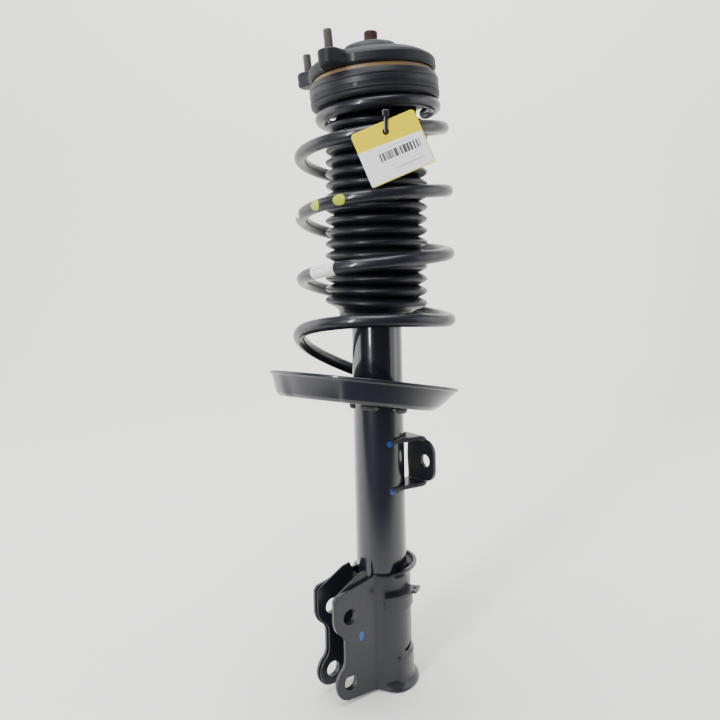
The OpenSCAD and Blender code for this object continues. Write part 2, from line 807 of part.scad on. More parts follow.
module bearing_upper_ring() {
    boss = 5.6;
    color([0.62, 0.47, 0.27])
        on_stack()
            difference() {
                rotate_extrude()
                    polygon([
                        [ball_ring_r - 13, race_bottom], [ball_ring_r - boss, race_bottom],
                        [ball_ring_r - boss, ball_level + 1.7], [ball_ring_r + boss, ball_level + 1.7],
                        [ball_ring_r + boss, race_bottom], [bearing_upper_r, race_bottom],
                        [bearing_upper_r - 1, plate_bottom], [ball_ring_r - 13, plate_bottom]
                    ]);
                ball_race(ball_r + race_gap);
            }
}

module bearing_cage() {
    color([0.8, 0.78, 0.7])
        on_stack()
            difference() {
                ring(ball_ring_r - 4.5, ball_ring_r + 4.5, ball_level - 0.8, ball_level + 0.8);
                for (i = [0 : ball_count - 1])
                    rotate([0, 0, i * 360 / ball_count])
                        translate([ball_ring_r, 0, ball_level - 2])
                            cylinder(r = ball_r + 0.05, h = 4, $fn = 32);
            }
}

module bearing_balls() {
    color([0.75, 0.76, 0.78])
        on_stack()
            for (i = [0 : ball_count - 1])
                rotate([0, 0, i * 360 / ball_count])
                    translate([ball_ring_r, 0, ball_level]) sphere(r = ball_r, $fn = 24);
}

// ---- top mount ----

module stud_places() {
    for (a = stud_azimuths) rotate([0, 0, a]) translate([stud_ring_r, 0, 0]) children();
}

module mount_plate() {
    lobe_bottom = plate_bottom + 1;
    color([0.1, 0.1, 0.11])
        on_stack()
            difference() {
                union() {
                    rotate([0, 0, plate_seam_az])
                        rotate_extrude()
                            polygon([
                                [dome_r - 1, plate_bottom], [mount_r - 2, plate_bottom],
                                [mount_r, plate_bottom + 2], [mount_r, -4],
                                [mount_r - 11, plate_crown], [dome_r - 1, plate_crown]
                            ]);
                    stud_places() translate([0, 0, lobe_bottom]) cylinder(r = lobe_r, h = 1 - lobe_bottom);
                    for (a = stud_azimuths)
                        rotate([0, 0, a])
                            translate([0, 0, lobe_bottom])
                                linear_extrude(height = 1 - lobe_bottom)
                                    polygon([
                                        [stud_ring_r - 24, -lobe_r - 7], [stud_ring_r - 3, -lobe_r + 0.4],
                                        [stud_ring_r - 3, lobe_r - 0.4], [stud_ring_r - 24, lobe_r + 7]
                                    ]);
                }
                stud_places() translate([0, 0, lobe_bottom - over])
                    cylinder(d = stud_shank_d, h = 4 - lobe_bottom);
            }
}

module mount_rubber() {
    bore = sleeve_r + 1.6;
    color([0.05, 0.05, 0.05])
        on_stack()
            rotate_extrude()
                polygon([
                    [bore, plate_bottom], [dome_r - 1, plate_bottom], [dome_r - 1, 0],
                    [dome_r - 6, 0], [bore + 4, -3.5], [bore, -3.5]
                ]);
}

module mount_dome() {
    sheet = 2;
    hole = thread_r + 2;
    color([0.09, 0.09, 0.1])
        on_stack()
            rotate_extrude()
                polygon([
                    [dome_r - 5, 0], [dome_r - 1, 0], [dome_r - 1, plate_crown], [dome_r, plate_crown],
                    [dome_r - 3, dome_top * 0.62], [dome_r - 7, dome_top * 0.88], [dome_r - 13, dome_top],
                    [hole, dome_top], [hole, dome_top - sheet], [dome_r - 14, dome_top - sheet],
                    [dome_r - 8.5, dome_top * 0.88 - sheet], [dome_r - 5, dome_top * 0.6]
                ]);
}

module tower_studs() {
    color([0.45, 0.44, 0.42])
        on_stack()
            stud_places() {
                translate([0, 0, plate_bottom + 1]) cylinder(d = stud_shank_d, h = -plate_bottom);
                cylinder(d = stud_d, h = 1 + stud_out);
                translate([0, 0, 1 + stud_out]) cylinder(d1 = stud_d, d2 = stud_d - 1.6, h = 1);
            }
}

module mount_sleeve() {
    color([0.4, 0.4, 0.42]) ring(thread_r, sleeve_r, rod_shoulder_z, rod_shoulder_z + sleeve_h);
}

module mount_washer() {
    z = rod_shoulder_z + sleeve_h;
    color([0.5, 0.5, 0.5]) ring(thread_r, sleeve_r + 2, z, z + washer_t);
}

module rod_nut() {
    z = rod_shoulder_z + sleeve_h + washer_t;
    color([0.45, 0.42, 0.38])
        difference() {
            translate([0, 0, z]) cylinder(r = sleeve_r, h = nut_h, $fn = 6);
            translate([0, 0, z - over]) cylinder(r = thread_r, h = nut_h + 2 * over);
        }
}

// ---- inspection tag on the uppermost open coil ----

card_az = 232.7;
card_face = coil_r + wire_r + 3;
card_x = 16;
card_z = 510.2;
card_hole_v = 16.2;
card_hole_d = 6;
tie_w = 3;
tie_t = 1.4;
// Height of the tie's loop above the card's hole, so that the card's corner swings inside it.
tie_crown = 17.3;

// Puts a shape drawn in the card's plane, x to the right and y upwards, in front of the spring.
module on_card() {
    translate([card_face * cos(card_az), card_face * sin(card_az), 0])
        rotate([90, 0, card_az + 90])
            translate([card_x, card_z, 0])
                rotate([0, 0, card_turn])
                    children();
}

module tag_card() {
    corner_r = 5;
    color([0.93, 0.9, 0.55])
        on_card()
            linear_extrude(height = card_t)
                difference() {
                    union() {
                        square([card_w - 2 * corner_r, card_h], center = true);
                        square([card_w, card_h - 2 * corner_r], center = true);
                        for (x = [-1, 1])
                            for (y = [-1, 1])
                                translate([x * (card_w / 2 - corner_r), y * (card_h / 2 - corner_r)])
                                    circle(r = corner_r, $fn = 32);
                    }
                    translate([0, card_hole_v]) circle(d = card_hole_d);
                }
}

// The tie's loop, seen along the wire: it passes through the card's hole, over the card and round the wire.
module tag_tie() {
    hole_x = card_x - card_hole_v * sin(card_turn);
    hole_z = card_z + card_hole_v * cos(card_turn);
    tie_az = card_az + 1080 + asin(hole_x / coil_r);
    dx = -(card_face - coil_r);
    dz = wire_height(tie_az) - hole_z;
    half = wire_r + 1.5;
    color([0.04, 0.04, 0.05])
        translate([card_face * cos(card_az), card_face * sin(card_az), 0])
            rotate([0, 0, card_az])
                translate([0, hole_x, hole_z])
                    rotate([90, 0, 0])
                        linear_extrude(height = tie_w, center = true)
                            difference() {
                                tie_loop(dx, dz, half + tie_t, tie_t);
                                tie_loop(dx, dz, half, 0);
                            }
}

// Outline of the tie: round the wire at [dx, dz], and through the card's hole at the origin.
module tie_loop(dx, dz, r, out) {
    front = card_t + 0.6 + out;
    top = tie_crown + out;
    polygon([
        [front, -out], [front, top - 2], [front - 2, top], [dx + 0.2 * r, top],
        [dx - r, dz + 0.6 * r], [dx - r, dz - 0.4 * r],
        [dx - 0.4 * r, dz - r], [dx + 0.4 * r, dz - r], [-1.2, -2 * out - 1], [-0.4, -out]
    ]);
}

outer_tube();
base_cap();
inner_cylinder();
foot_valve();
rod_guide();
rod_seal();
tube_end_cap();
boot_ring();
lower_spring_seat();
seat_weld();
lower_spring_pad();
knuckle_bracket();
clevis_channel();
hose_bracket();
link_bracket();
link_weld();
coil_spring();
dust_boot();
upper_spring_pad();
upper_spring_seat();
bump_stop();
bearing_lower_ring();
bearing_cage();
bearing_balls();
bearing_upper_ring();
mount_plate();
mount_rubber();
mount_dome();
tower_studs();
piston_rod();
piston();
piston_band();
piston_nut();
rebound_stop();
mount_sleeve();
mount_washer();
rod_nut();
tag_card();
tag_tie();
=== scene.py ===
# %% [markdown]
# # Suspension strut: the looks
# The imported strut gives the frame: every node in its true place, with the joints between the bodies.
# This lesson dresses it. Each step makes one region's pieces, from the foot of the tube to the top mount.
# Lengths inside the steps are in millimetres, and `make` turns them into metres.

# %% Load the frame
import math

import bmesh
import bpy
from mathutils import Matrix, Vector


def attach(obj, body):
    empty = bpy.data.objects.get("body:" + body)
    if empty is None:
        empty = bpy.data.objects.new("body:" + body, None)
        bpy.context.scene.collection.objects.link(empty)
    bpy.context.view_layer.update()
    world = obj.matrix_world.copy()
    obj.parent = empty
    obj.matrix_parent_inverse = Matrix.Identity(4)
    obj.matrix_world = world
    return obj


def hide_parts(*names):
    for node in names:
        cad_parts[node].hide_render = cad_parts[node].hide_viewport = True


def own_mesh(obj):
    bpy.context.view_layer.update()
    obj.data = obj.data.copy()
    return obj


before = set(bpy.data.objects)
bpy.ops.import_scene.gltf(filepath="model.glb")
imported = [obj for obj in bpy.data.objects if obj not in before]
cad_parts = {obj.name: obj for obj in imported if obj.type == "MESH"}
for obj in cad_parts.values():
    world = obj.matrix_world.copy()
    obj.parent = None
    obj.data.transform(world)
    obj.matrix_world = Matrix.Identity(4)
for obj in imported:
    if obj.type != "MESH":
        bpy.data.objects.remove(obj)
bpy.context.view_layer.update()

# %% [markdown]
# ## Measures
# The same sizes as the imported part, so that each new piece lies exactly where its node does.

# %% Sizes
MM = 0.001
TUBE_R, TUBE_WALL, TUBE_TOP = 25.0, 2.5, 380.0
PIVOT_Z, STACK_TILT, STACK_LOW_AZ = 608.5, 4.5, 142.7
SEAT_Z, SEAT_TILT, SEAT_HIGH_AZ, SEAT_OFFSET, SEAT_AZ = 289.8, 12.7, 200.0, 15.8, 171.8
SEAT_RIM_R, SEAT_FLOOR_R, SEAT_DEPTH, SEAT_T = 93.0, 81.5, 20.5, 2.5
WIRE_R, COIL_R, COIL_TOP_R = 6.25, 72.5, 56.5
COIL_START, COIL_LOW, COIL_HIGH, COIL_END = -287.0, 4.6, 1491.4, 1793.8
LOW_HEIGHT, HIGH_HEIGHT, LOW_CORNER, HIGH_CORNER = 279.70, 557.85, 80.0, 358.0
LOW_CLIMB, COIL_KNEE, KNEE_CORNER, LOW_LEAN, LOW_CURL = 2.02, 145.0, 60.0, 9.0, 8.0
STUD_AZIMUTHS = (197.0, 124.0, 4.0)
STUD_RING_R, STUD_R, STUD_OUT = 68.0, 4.35, 18.5
SPRING_FOOT, BOOT_FOOT, STROKE = 265.0, 351.0, 118.0


def cosd(angle):
    return math.cos(math.radians(angle))


def sind(angle):
    return math.sin(math.radians(angle))


def turn(axis, degrees):
    return Matrix.Rotation(math.radians(degrees), 4, axis)


def tilted(place, low_az, tilt):
    return Matrix.Translation(place) @ turn("Z", low_az) @ turn("Y", tilt) @ turn("Z", -low_az)


seat_x, seat_y = SEAT_OFFSET * cosd(SEAT_AZ), SEAT_OFFSET * sind(SEAT_AZ)
seat_slope = math.tan(math.radians(SEAT_TILT))
seat_centre_z = SEAT_Z + seat_slope * SEAT_OFFSET * cosd(SEAT_AZ - SEAT_HIGH_AZ)
ON_SEAT = tilted((seat_x, seat_y, seat_centre_z), SEAT_HIGH_AZ + 180, SEAT_TILT)
ON_STACK = tilted((0, 0, PIVOT_Z), STACK_LOW_AZ, STACK_TILT)
UPRIGHT = Matrix.Identity(4)
print(f"seat centre at {seat_x:.2f}, {seat_y:.2f}, {seat_centre_z:.2f} mm")

# %% [markdown]
# ## A small language for materials
# `Wire` wraps a shader socket, so that arithmetic on wires builds math nodes.
# `Graph.add` makes any node from its type, its settings and the links into it.


# %% Material helpers
class Wire:
    def __init__(self, graph, socket):
        self.graph = graph
        self.socket = socket

    def math(self, operation, *others):
        return self.graph.add("Math", {"operation": operation}, *((self,) + others))

    def __add__(self, other):
        return self.math("ADD", other)

    def __sub__(self, other):
        return self.math("SUBTRACT", other)

    def __mul__(self, other):
        return self.math("MULTIPLY", other)

    def __truediv__(self, other):
        return self.math("DIVIDE", other)

    def __rsub__(self, other):
        return self.graph.add("Math", {"operation": "SUBTRACT"}, other, self)

    __radd__ = __add__
    __rmul__ = __mul__

    def step(self, low, high):
        """0 below low, 1 above high, smooth between; low may be the larger."""
        settings = {"interpolation_type": "SMOOTHSTEP"}
        if low < high:
            return self.graph.add("MapRange", settings, self, low, high)
        return self.graph.add("MapRange", settings, self, high, low, 1.0, 0.0)

    def inside(self, low, high, soft):
        """1 between low and high, 0 outside, with edges of width soft."""
        return self.step(low - soft, low + soft) * self.step(high + soft, high - soft)


class Graph:
    def __init__(self, name):
        self.material = bpy.data.materials.new(name)
        self.material.use_nodes = True
        self.tree = self.material.node_tree
        self.shader = next(n for n in self.tree.nodes if n.type == "BSDF_PRINCIPLED")

    def link(self, value, socket):
        if isinstance(value, Wire):
            self.tree.links.new(value.socket, socket)
        else:
            socket.default_value = value

    def add(self, kind, settings, *inputs, out=0, **named):
        node = self.tree.nodes.new("ShaderNode" + kind)
        for key, value in settings.items():
            setattr(node, key, value)
        for value, socket in zip(inputs, node.inputs):
            self.link(value, socket)
        for key, value in named.items():
            self.link(value, node.inputs[key.replace("_", " ")])
        return Wire(self, node.outputs[out])

    def coords(self):
        return self.add("TexCoord", {}, out="Object")

    def uv(self, layer):
        split = self.add("SeparateXYZ", {}, self.add("UVMap", {"uv_map": layer}))
        return split, Wire(self, split.socket.node.outputs[1])

    def axes(self):
        split = self.add("SeparateXYZ", {}, self.coords()).socket.node
        return [Wire(self, split.outputs[i]) for i in range(3)]

    def noise(self, scale, detail=2.0, vector=None, rough=0.5):
        vector = vector or self.coords()
        return self.add("TexNoise", {}, vector, Scale=scale, Detail=detail, Roughness=rough)

    def mix(self, factor, low, high):
        """Blend of two colours."""
        node = self.add("Mix", {"data_type": "RGBA"}).socket.node
        for value, index in ((factor, 0), (low, 6), (high, 7)):
            self.link(value, node.inputs[index])
        return Wire(self, node.outputs[2])

    def near(self, point, radii):
        """1 inside an ellipsoid round point (in mm), 0 outside it."""
        total = 0.0
        for wire, place, radius in zip(self.axes(), point, radii):
            across = (wire - place * MM) / (radius * MM)
            total = across * across + total
        return total.step(1.15, 0.85)

    def bump(self, height, strength, distance):
        return self.add("Bump", {}, Strength=strength, Distance=distance, Height=height)

    def finish(self, **values):
        for key, value in values.items():
            self.link(value, self.shader.inputs[key.replace("_", " ")])
        return self.material


def rgb(red, green, blue):
    return (red, green, blue, 1.0)


# %% [markdown]
# ## Paints, rubbers and metals
# The black paint is glossy and slightly blue, with fine orange peel, thin dust and a few rubbed spots.
# Marks that a hand put on, such as the dots on the spring, are shapes in the same materials.

# %% Paint materials
BLUE_MARK, DOT, WHITE = rgb(0.008, 0.05, 0.3), rgb(0.36, 0.44, 0.0), rgb(0.72, 0.72, 0.7)


def paint(name, colour, rough, coat, peel=0.1, dust=0.3, shine=0.3, marks=()):
    """marks: (mask maker, colour) pairs, laid over the paint."""
    g = Graph(name)
    cloud = g.noise(22.0, 4.0)
    fine = g.noise(260.0, 3.0)
    wear = (cloud * 0.6 + fine * 0.4).step(0.5, 0.72) * dust
    base = g.mix(wear, rgb(*colour), rgb(0.05, 0.05, 0.05))
    gloss = wear * 0.3 + rough
    for mask, shade in marks:
        shape = mask(g)
        base = g.mix(shape, base, shade)
        gloss = gloss * (1.0 - shape) + shape * 0.45
    return g.finish(
        Base_Color=base, Roughness=gloss, Coat_Weight=coat, Coat_Roughness=0.06,
        Specular_IOR_Level=shine, Normal=g.bump(g.noise(420.0, 1.0), peel, 0.0004),
    )


def blot(point, radii):
    return lambda g: g.near(point, radii)


tube_paint = paint(
    "tube_paint", (0.0065, 0.0078, 0.014), 0.24, 0.8, peel=0.04, dust=0.05,
    marks=[
        (blot((-6.3, -24.2, 232.5), (2.7, 4.0, 3.0)), BLUE_MARK),
        (blot((-4.4, -24.8, 186.4), (2.7, 4.0, 3.0)), BLUE_MARK),
    ],
)
bracket_paint = paint(
    "bracket_paint", (0.009, 0.01, 0.015), 0.38, 0.4, peel=0.12, dust=0.2,
    marks=[(blot((-40.0, -17.5, 55.6), (2.7, 4.0, 4.4)), BLUE_MARK)],
)
seat_paint = paint("seat_paint", (0.007, 0.0085, 0.0145), 0.36, 0.4, peel=0.12, dust=0.12)
mount_paint = paint("mount_paint", (0.009, 0.0105, 0.015), 0.55, 0.06, peel=0.3, dust=0.25, shine=0.2)
weld_paint = paint("weld_paint", (0.01, 0.0105, 0.015), 0.35, 0.4, peel=0.5, dust=0.2)
print("5 paints")


# %% Spring paint with its dots and its white band
def wire_marks(g):
    """Distance along the wire and round it, in metres."""
    return g.uv("wire")


def wire_at(angle):
    return math.radians(angle) * COIL_R * MM


def dot(angle, radius_along, radius_round, ragged=0.0):
    def mask(g):
        along, around = wire_marks(g)
        dx = (along - wire_at(angle)) / (radius_along * MM)
        dy = around / (radius_round * MM)
        edge = dx * dx + dy * dy + g.noise(240.0, 2.0) * ragged
        return edge.step(1.1 + ragged, 0.9 + ragged * 0.4)
    return mask


def band(start, end):
    def mask(g):
        along, around = wire_marks(g)
        wobble = g.noise(90.0, 2.0) * 0.0016
        return (along + wobble).inside(wire_at(start), wire_at(end), 0.0002)
    return mask


def seam_line(start, end):
    def mask(g):
        along, around = wire_marks(g)
        slant = around - (along - wire_at(start)) * 0.08 - 0.002
        return slant.inside(-0.0003, 0.0003, 0.0001) * along.inside(wire_at(start), wire_at(end), 0.0003)
    return mask


spring_paint = paint(
    "spring_paint", (0.0075, 0.0085, 0.014), 0.38, 0.4, peel=0.05, dust=0.06,
    marks=[
        (dot(907.0, 5.0, 5.6), DOT), (dot(927.5, 5.6, 5.9), DOT),
        (dot(879.0, 5.0, 4.0, ragged=1.1), WHITE),
        (band(541.0, 562.5), WHITE), (seam_line(543.0, 556.0), rgb(0.1, 0.1, 0.1)),
    ],
)
print("spring paint with 5 marks")


# %% Rubbers, plastics and metals
def plain(name, colour, rough, metal=0.0, grain=0.0, size=300.0, spread=0.0, coat=0.0, shine=0.5):
    """One even material: spread varies its shade, grain roughens its surface."""
    g = Graph(name)
    cloud = g.noise(size * 0.15, 3.0)
    shade = g.mix(cloud, rgb(*[c * (1 - spread) for c in colour]),
        rgb(*[min(c * (1 + spread), 1) for c in colour]))
    return g.finish(
        Base_Color=shade, Roughness=cloud * 0.12 + (rough - 0.06), Metallic=metal, Coat_Weight=coat,
        Specular_IOR_Level=shine, Normal=g.bump(g.noise(size, 2.0), grain, 0.0003),
    )


def rusty(name, low_z, high_z):
    """Ground steel below low_z, brown rust above high_z."""
    g = Graph(name)
    height = g.axes()[2]
    patch = g.noise(500.0, 4.0)
    rust = (height + (patch - 0.5) * 0.004).step(low_z * MM, high_z * MM)
    colour = g.mix(patch, rgb(0.022, 0.009, 0.006), rgb(0.055, 0.018, 0.01))
    return g.finish(
        Base_Color=g.mix(rust, rgb(0.5, 0.5, 0.5), colour), Metallic=1.0 - rust * 0.85,
        Roughness=rust * 0.5 + 0.18, Normal=g.bump(patch, 0.25, 0.0005),
    )


rubber = plain("rubber", (0.013, 0.013, 0.015), 0.55, grain=0.25, spread=0.2)
boot_rubber = plain("boot_rubber", (0.0065, 0.0075, 0.012), 0.36, grain=0.06, spread=0.15, coat=0.05,
    shine=0.35)
pad_rubber = plain("pad_rubber", (0.011, 0.0125, 0.016), 0.5, grain=0.3, spread=0.25, shine=0.25)
black_plastic = plain("black_plastic", (0.009, 0.0105, 0.015), 0.42, grain=0.15, spread=0.2, shine=0.3)
# race_plastic: the race's own olive-tan, darkened further as painted shade from the mount plate above it
race_plastic = plain("race_plastic", (0.24, 0.15, 0.06), 0.5, grain=0.12, spread=0.12)
cage_plastic = plain("cage_plastic", (0.7, 0.65, 0.52), 0.45, spread=0.08)
foam = plain("foam", (0.6, 0.5, 0.22), 0.8, grain=0.5, size=700.0, spread=0.12)
bare_steel = plain("bare_steel", (0.42, 0.42, 0.43), 0.35, metal=1.0, grain=0.05, spread=0.08)
sintered_steel = plain("sintered_steel", (0.3, 0.3, 0.31), 0.55, metal=0.9, grain=0.3, spread=0.15)
stud_steel = plain("stud_steel", (0.13, 0.125, 0.11), 0.45, metal=0.6, grain=0.3, size=900.0, spread=0.25)
ball_steel = plain("ball_steel", (0.75, 0.75, 0.76), 0.1, metal=1.0)
tie_plastic = plain("tie_plastic", (0.012, 0.012, 0.014), 0.3, spread=0.1, coat=0.2)
rod_steel = rusty("rod_steel", 596.0, 612.0)
print("13 rubbers, plastics and metals")


# %% The inspection card's print
def card_material():
    """Yellow head, white body with bars and faint rules, and a pale yellow border at the right and below."""
    g = Graph("tag_print")
    x, y = g.uv("card")
    head = (y + x * 0.042).step(0.0062, 0.0065)
    border = g.add("Math", {"operation": "MAXIMUM"}, x.step(0.0291, 0.0294), y.step(-0.0243, -0.0246))
    bars = g.add("TexNoise", {"noise_dimensions": "1D"}, W=x * 1000.0, Scale=0.72, Detail=0.0)
    bars = bars.step(0.44, 0.46) * x.inside(-0.014, 0.0245, 0.0001) * y.inside(-0.0078, -0.0002, 0.0001)
    rules = 0.0
    for place, left, right, strength in (
        (0.0027, -0.013, 0.021, 0.4), (-0.0102, -0.013, 0.022, 0.28), (-0.0135, -0.01, 0.022, 0.2),
        (-0.017, -0.005, 0.023, 0.75), (-0.0198, -0.008, 0.012, 0.2),
    ):
        cells = g.add("TexNoise", {"noise_dimensions": "1D"}, W=x * 1000.0 + place * 9000.0, Scale=1.7,
            Detail=0.0)
        row = y.inside(place - 0.0006, place + 0.0006, 0.0002) * x.inside(left, right, 0.0002)
        rules = cells.step(0.42, 0.5) * row * strength + rules
    ink = bars + rules
    sheet = g.mix(border, rgb(0.88, 0.88, 0.87), rgb(0.8, 0.72, 0.12))
    sheet = g.mix(ink.math("MINIMUM", 0.9), sheet, rgb(0.008, 0.008, 0.01))
    colour = g.mix(head, sheet, rgb(0.82, 0.66, 0.0))
    return g.finish(Base_Color=colour, Roughness=0.6, Specular_IOR_Level=0.1)


tag_print = card_material()
print("card print")

# %% [markdown]
# ## Shapes
# Four makers cover the strut: a turned ring, a swept wire, a pressed plate that is cut flat and then bent,
# and a threaded pin. `make` names the piece, gives it to its body and lets it stand for its nodes.


# %% Profile helpers
def rounded(points, radii, steps=4, closed=True):
    """A polyline with each corner rounded; radii is one size or one for each corner."""
    out, count = [], len(points)
    for i, here in enumerate(points):
        here = Vector(here)
        radius = radii[i] if isinstance(radii, (list, tuple)) else radii
        if radius == 0 or (not closed and i in (0, count - 1)):
            out.append(tuple(here))
            continue
        back, ahead = Vector(points[i - 1]) - here, Vector(points[(i + 1) % count]) - here
        half = back.angle(ahead) / 2
        reach = min(radius / math.tan(half), back.length * 0.48, ahead.length * 0.48)
        start, end = here + back.normalized() * reach, here + ahead.normalized() * reach
        for k in range(steps + 1):
            t = k / steps
            out.append(tuple(start * (1 - t) ** 2 + here * 2 * t * (1 - t) + end * t * t))
    return out


def arc(x, y, radius, start, end, steps):
    """Points on an arc, both ends included."""
    return [
        (x + radius * cosd(start + (end - start) * k / steps),
            y + radius * sind(start + (end - start) * k / steps))
        for k in range(steps + 1)
    ]


def ease(t):
    t = min(max(t, 0.0), 1.0)
    return (1 - math.cos(math.pi * t)) / 2


def make(name, bm, body, nodes, material, place=UPRIGHT, angle=38, flat_faces=False):
    """Turns a bmesh in mm into a finished piece that rides on body and stands for nodes."""
    bmesh.ops.transform(bm, matrix=Matrix.Scale(MM, 4) @ place, verts=bm.verts)
    bmesh.ops.recalc_face_normals(bm, faces=bm.faces)
    mesh = bpy.data.meshes.new(name)
    bm.to_mesh(mesh)
    bm.free()
    mesh.shade_smooth()
    mesh.set_sharp_from_angle(angle=math.radians(angle))
    mesh.materials.append(material)
    piece = bpy.data.objects.new(name, mesh)
    bpy.context.scene.collection.objects.link(piece)
    if flat_faces:
        weighted = piece.modifiers.new("flat_faces", "WEIGHTED_NORMAL")
        weighted.keep_sharp = True
        weighted.weight = 90
    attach(piece, body)
    if nodes:
        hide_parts(*nodes)
    print(f"{name}: {len(mesh.polygons)} faces")
    return piece


# %% Turned rings
def spun(profile, steps=144, solid=False):
    """A profile (r, z) turned all the way round Z: a closed one, or a solid's, from the axis to the axis."""
    bm = bmesh.new()
    verts = [bm.verts.new((r, 0, z)) for r, z in profile]
    after = verts[1:] if solid else verts[1:] + verts[:1]
    edges = [bm.edges.new(pair) for pair in zip(verts, after)]
    bmesh.ops.spin(
        bm, geom=verts + edges, cent=(0, 0, 0), axis=(0, 0, 1), dvec=(0, 0, 0),
        angle=math.tau, steps=steps, use_merge=True, use_normal_flip=False, use_duplicate=False,
    )
    if solid:
        bmesh.ops.remove_doubles(bm, verts=bm.verts, dist=1e-4)
    return bm


def grid(rows, closed_rows=True, closed_columns=False):
    """Faces between rows of points; both directions may close on themselves."""
    bm = bmesh.new()
    lines = [[bm.verts.new(p) for p in row] for row in rows]
    last = len(lines) if closed_columns else len(lines) - 1
    wide = len(lines[0]) if closed_rows else len(lines[0]) - 1
    for i in range(last):
        line, after = lines[i], lines[(i + 1) % len(lines)]
        for k in range(wide):
            j = (k + 1) % len(line)
            bm.faces.new((line[k], line[j], after[j], after[k]))
    return bm, lines


# %% Swept wires and straps
def swept(centres, section, sides=24, closed=False, layer=None, spacing=None):
    """A section(i, k) -> (outwards, upwards) swept along centres; open ends are capped."""
    rows, count = [], len(centres)
    for i, centre in enumerate(centres):
        back = centres[i - 1] if closed or i else centres[i]
        ahead = centres[(i + 1) % count] if closed or i < count - 1 else centres[i]
        along = (ahead - back).normalized()
        out = along.cross(Vector((0, 0, 1))).normalized()
        up = out.cross(along)
        rows.append([centre + out * section(i, k)[0] + up * section(i, k)[1] for k in range(sides)])
    bm, lines = grid(rows, closed_columns=closed)
    if layer:
        uv = bm.loops.layers.uv.new(layer)
        for index, face in enumerate(bm.faces):
            i, k = divmod(index, sides)
            for corner, (di, dk) in zip(face.loops, ((0, 0), (0, 1), (1, 1), (1, 0))):
                turned = (k + dk) / sides
                turned = turned - 1 if turned > 0.5 and k >= sides // 2 else turned
                corner[uv].uv = (spacing(i + di) * MM, turned * math.tau * WIRE_R * MM)
    if not closed:
        bm.faces.new(lines[0][::-1])
        bm.faces.new(lines[-1])
    return bm


# %% Pressed plates
def inset(loop, by):
    """A dense closed polyline moved to its left by that much."""
    moved = []
    for i, (x, y) in enumerate(loop):
        (x0, y0), (x1, y1) = loop[i - 1], loop[(i + 1) % len(loop)]
        length = math.hypot(x1 - x0, y1 - y0) or 1.0
        moved.append((x - (y1 - y0) / length * by, y + (x1 - x0) / length * by))
    return moved


def plate(loops, thick, cuts_x=(), cuts_y=(), bend=None, edge=0.6):
    """A sheet with rounded rims. loops: the outline counter-clockwise, then each hole clockwise.
    It is cut in the flat and creased along cuts_x and cuts_y. Each point then goes through bend(x, y, depth)."""
    bm = bmesh.new()
    rim = [(edge * (1 - sind(a)), thick / 2 - edge * (1 - cosd(a))) for a in (0, 30, 60, 90)]
    section = rim + [(by, -depth) for by, depth in reversed(rim)]
    ends = ([], [])
    for loop in loops:
        rows = [[bm.verts.new((x, y, depth)) for x, y in inset(loop, by)] for by, depth in section]
        for row, after in zip(rows, rows[1:]):
            for i, vert in enumerate(row):
                j = (i + 1) % len(row)
                bm.faces.new((vert, row[j], after[j], after[i]))
        for end, row in zip(ends, (rows[0], rows[-1])):
            for a, b in zip(row, row[1:] + row[:1]):
                end.append(bm.edges.get((a, b)))
    for end in ends:
        bmesh.ops.triangle_fill(bm, edges=end, use_beauty=True, use_dissolve=False)
    for normal, places in (((1, 0, 0), cuts_x), ((0, 1, 0), cuts_y)):
        for place in places:
            bmesh.ops.bisect_plane(
                bm, geom=bm.verts[:] + bm.edges[:] + bm.faces[:], dist=1e-4,
                plane_co=Vector(normal) * place, plane_no=normal,
            )
    if bend:
        for vert in bm.verts:
            vert.co = bend(*vert.co)
    return bm


def hole(x, y, radius, steps=40):
    return arc(x, y, radius, 360, 360 / steps, steps - 1)


# %% Threaded pins
def threaded(radius, depth, pitch, low, high, chamfer, foot=0.0, sides=40, recess=0.0):
    """A pin with a helical thread from low to high on a plain foot that reaches down by foot."""
    rows = []
    if foot:
        rows += [[(radius * cosd(360 * k / sides), radius * sind(360 * k / sides), z) for k in range(sides)]
                 for z in (low - foot, low - 0.2)]
    count = round((high - low) / pitch * 8)
    for i in range(count + 1):
        z = low + (high - low) * i / count
        limit = radius - max(z - (high - chamfer), 0)
        row = []
        for k in range(sides):
            phase = (z / pitch - k / sides) % 1
            r = min(radius - depth * (1 - abs(2 * phase - 1)) * ease((z - low) / pitch), limit)
            row.append((r * cosd(360 * k / sides), r * sind(360 * k / sides), z))
        rows.append(row)
    bm, lines = grid(rows)
    bm.faces.new(lines[0][::-1])
    if recess:
        tip = lines[-1]
        for r, z in ((recess, high), (recess * 0.97, high - 0.6), (recess * 0.97, high - 5)):
            ring = [bm.verts.new((r * cosd(360 * k / sides), r * sind(360 * k / sides), z))
                for k in range(sides)]
            for k in range(sides):
                j = (k + 1) % sides
                bm.faces.new((tip[k], tip[j], ring[j], ring[k]))
            tip = ring
        bm.faces.new(tip)
    else:
        bm.faces.new(lines[-1])
    return bm


print("makers ready")

# %% [markdown]
# ## Step 1: the damper tube and its foot
# The tube is a plain drawn pipe with rounded rims. The foot cap and the crimped end cap keep their imported
# shape.

# %% Tube
TUBE_BORE_R = TUBE_R - TUBE_WALL
make("tube_shell", spun(rounded([
    (TUBE_BORE_R, 0), (TUBE_R, 0), (TUBE_R, TUBE_TOP), (TUBE_BORE_R, TUBE_TOP),
], 0.6)), "strut_housing", ["outer_tube"], tube_paint)

# %% [markdown]
# ## Step 2: the knuckle bracket
# One plate is cut in the flat and wrapped round the tube. Its path in plan is an arc on the tube,
# a small bend, and the straight ear. The outline is drawn along that path and up the strut.

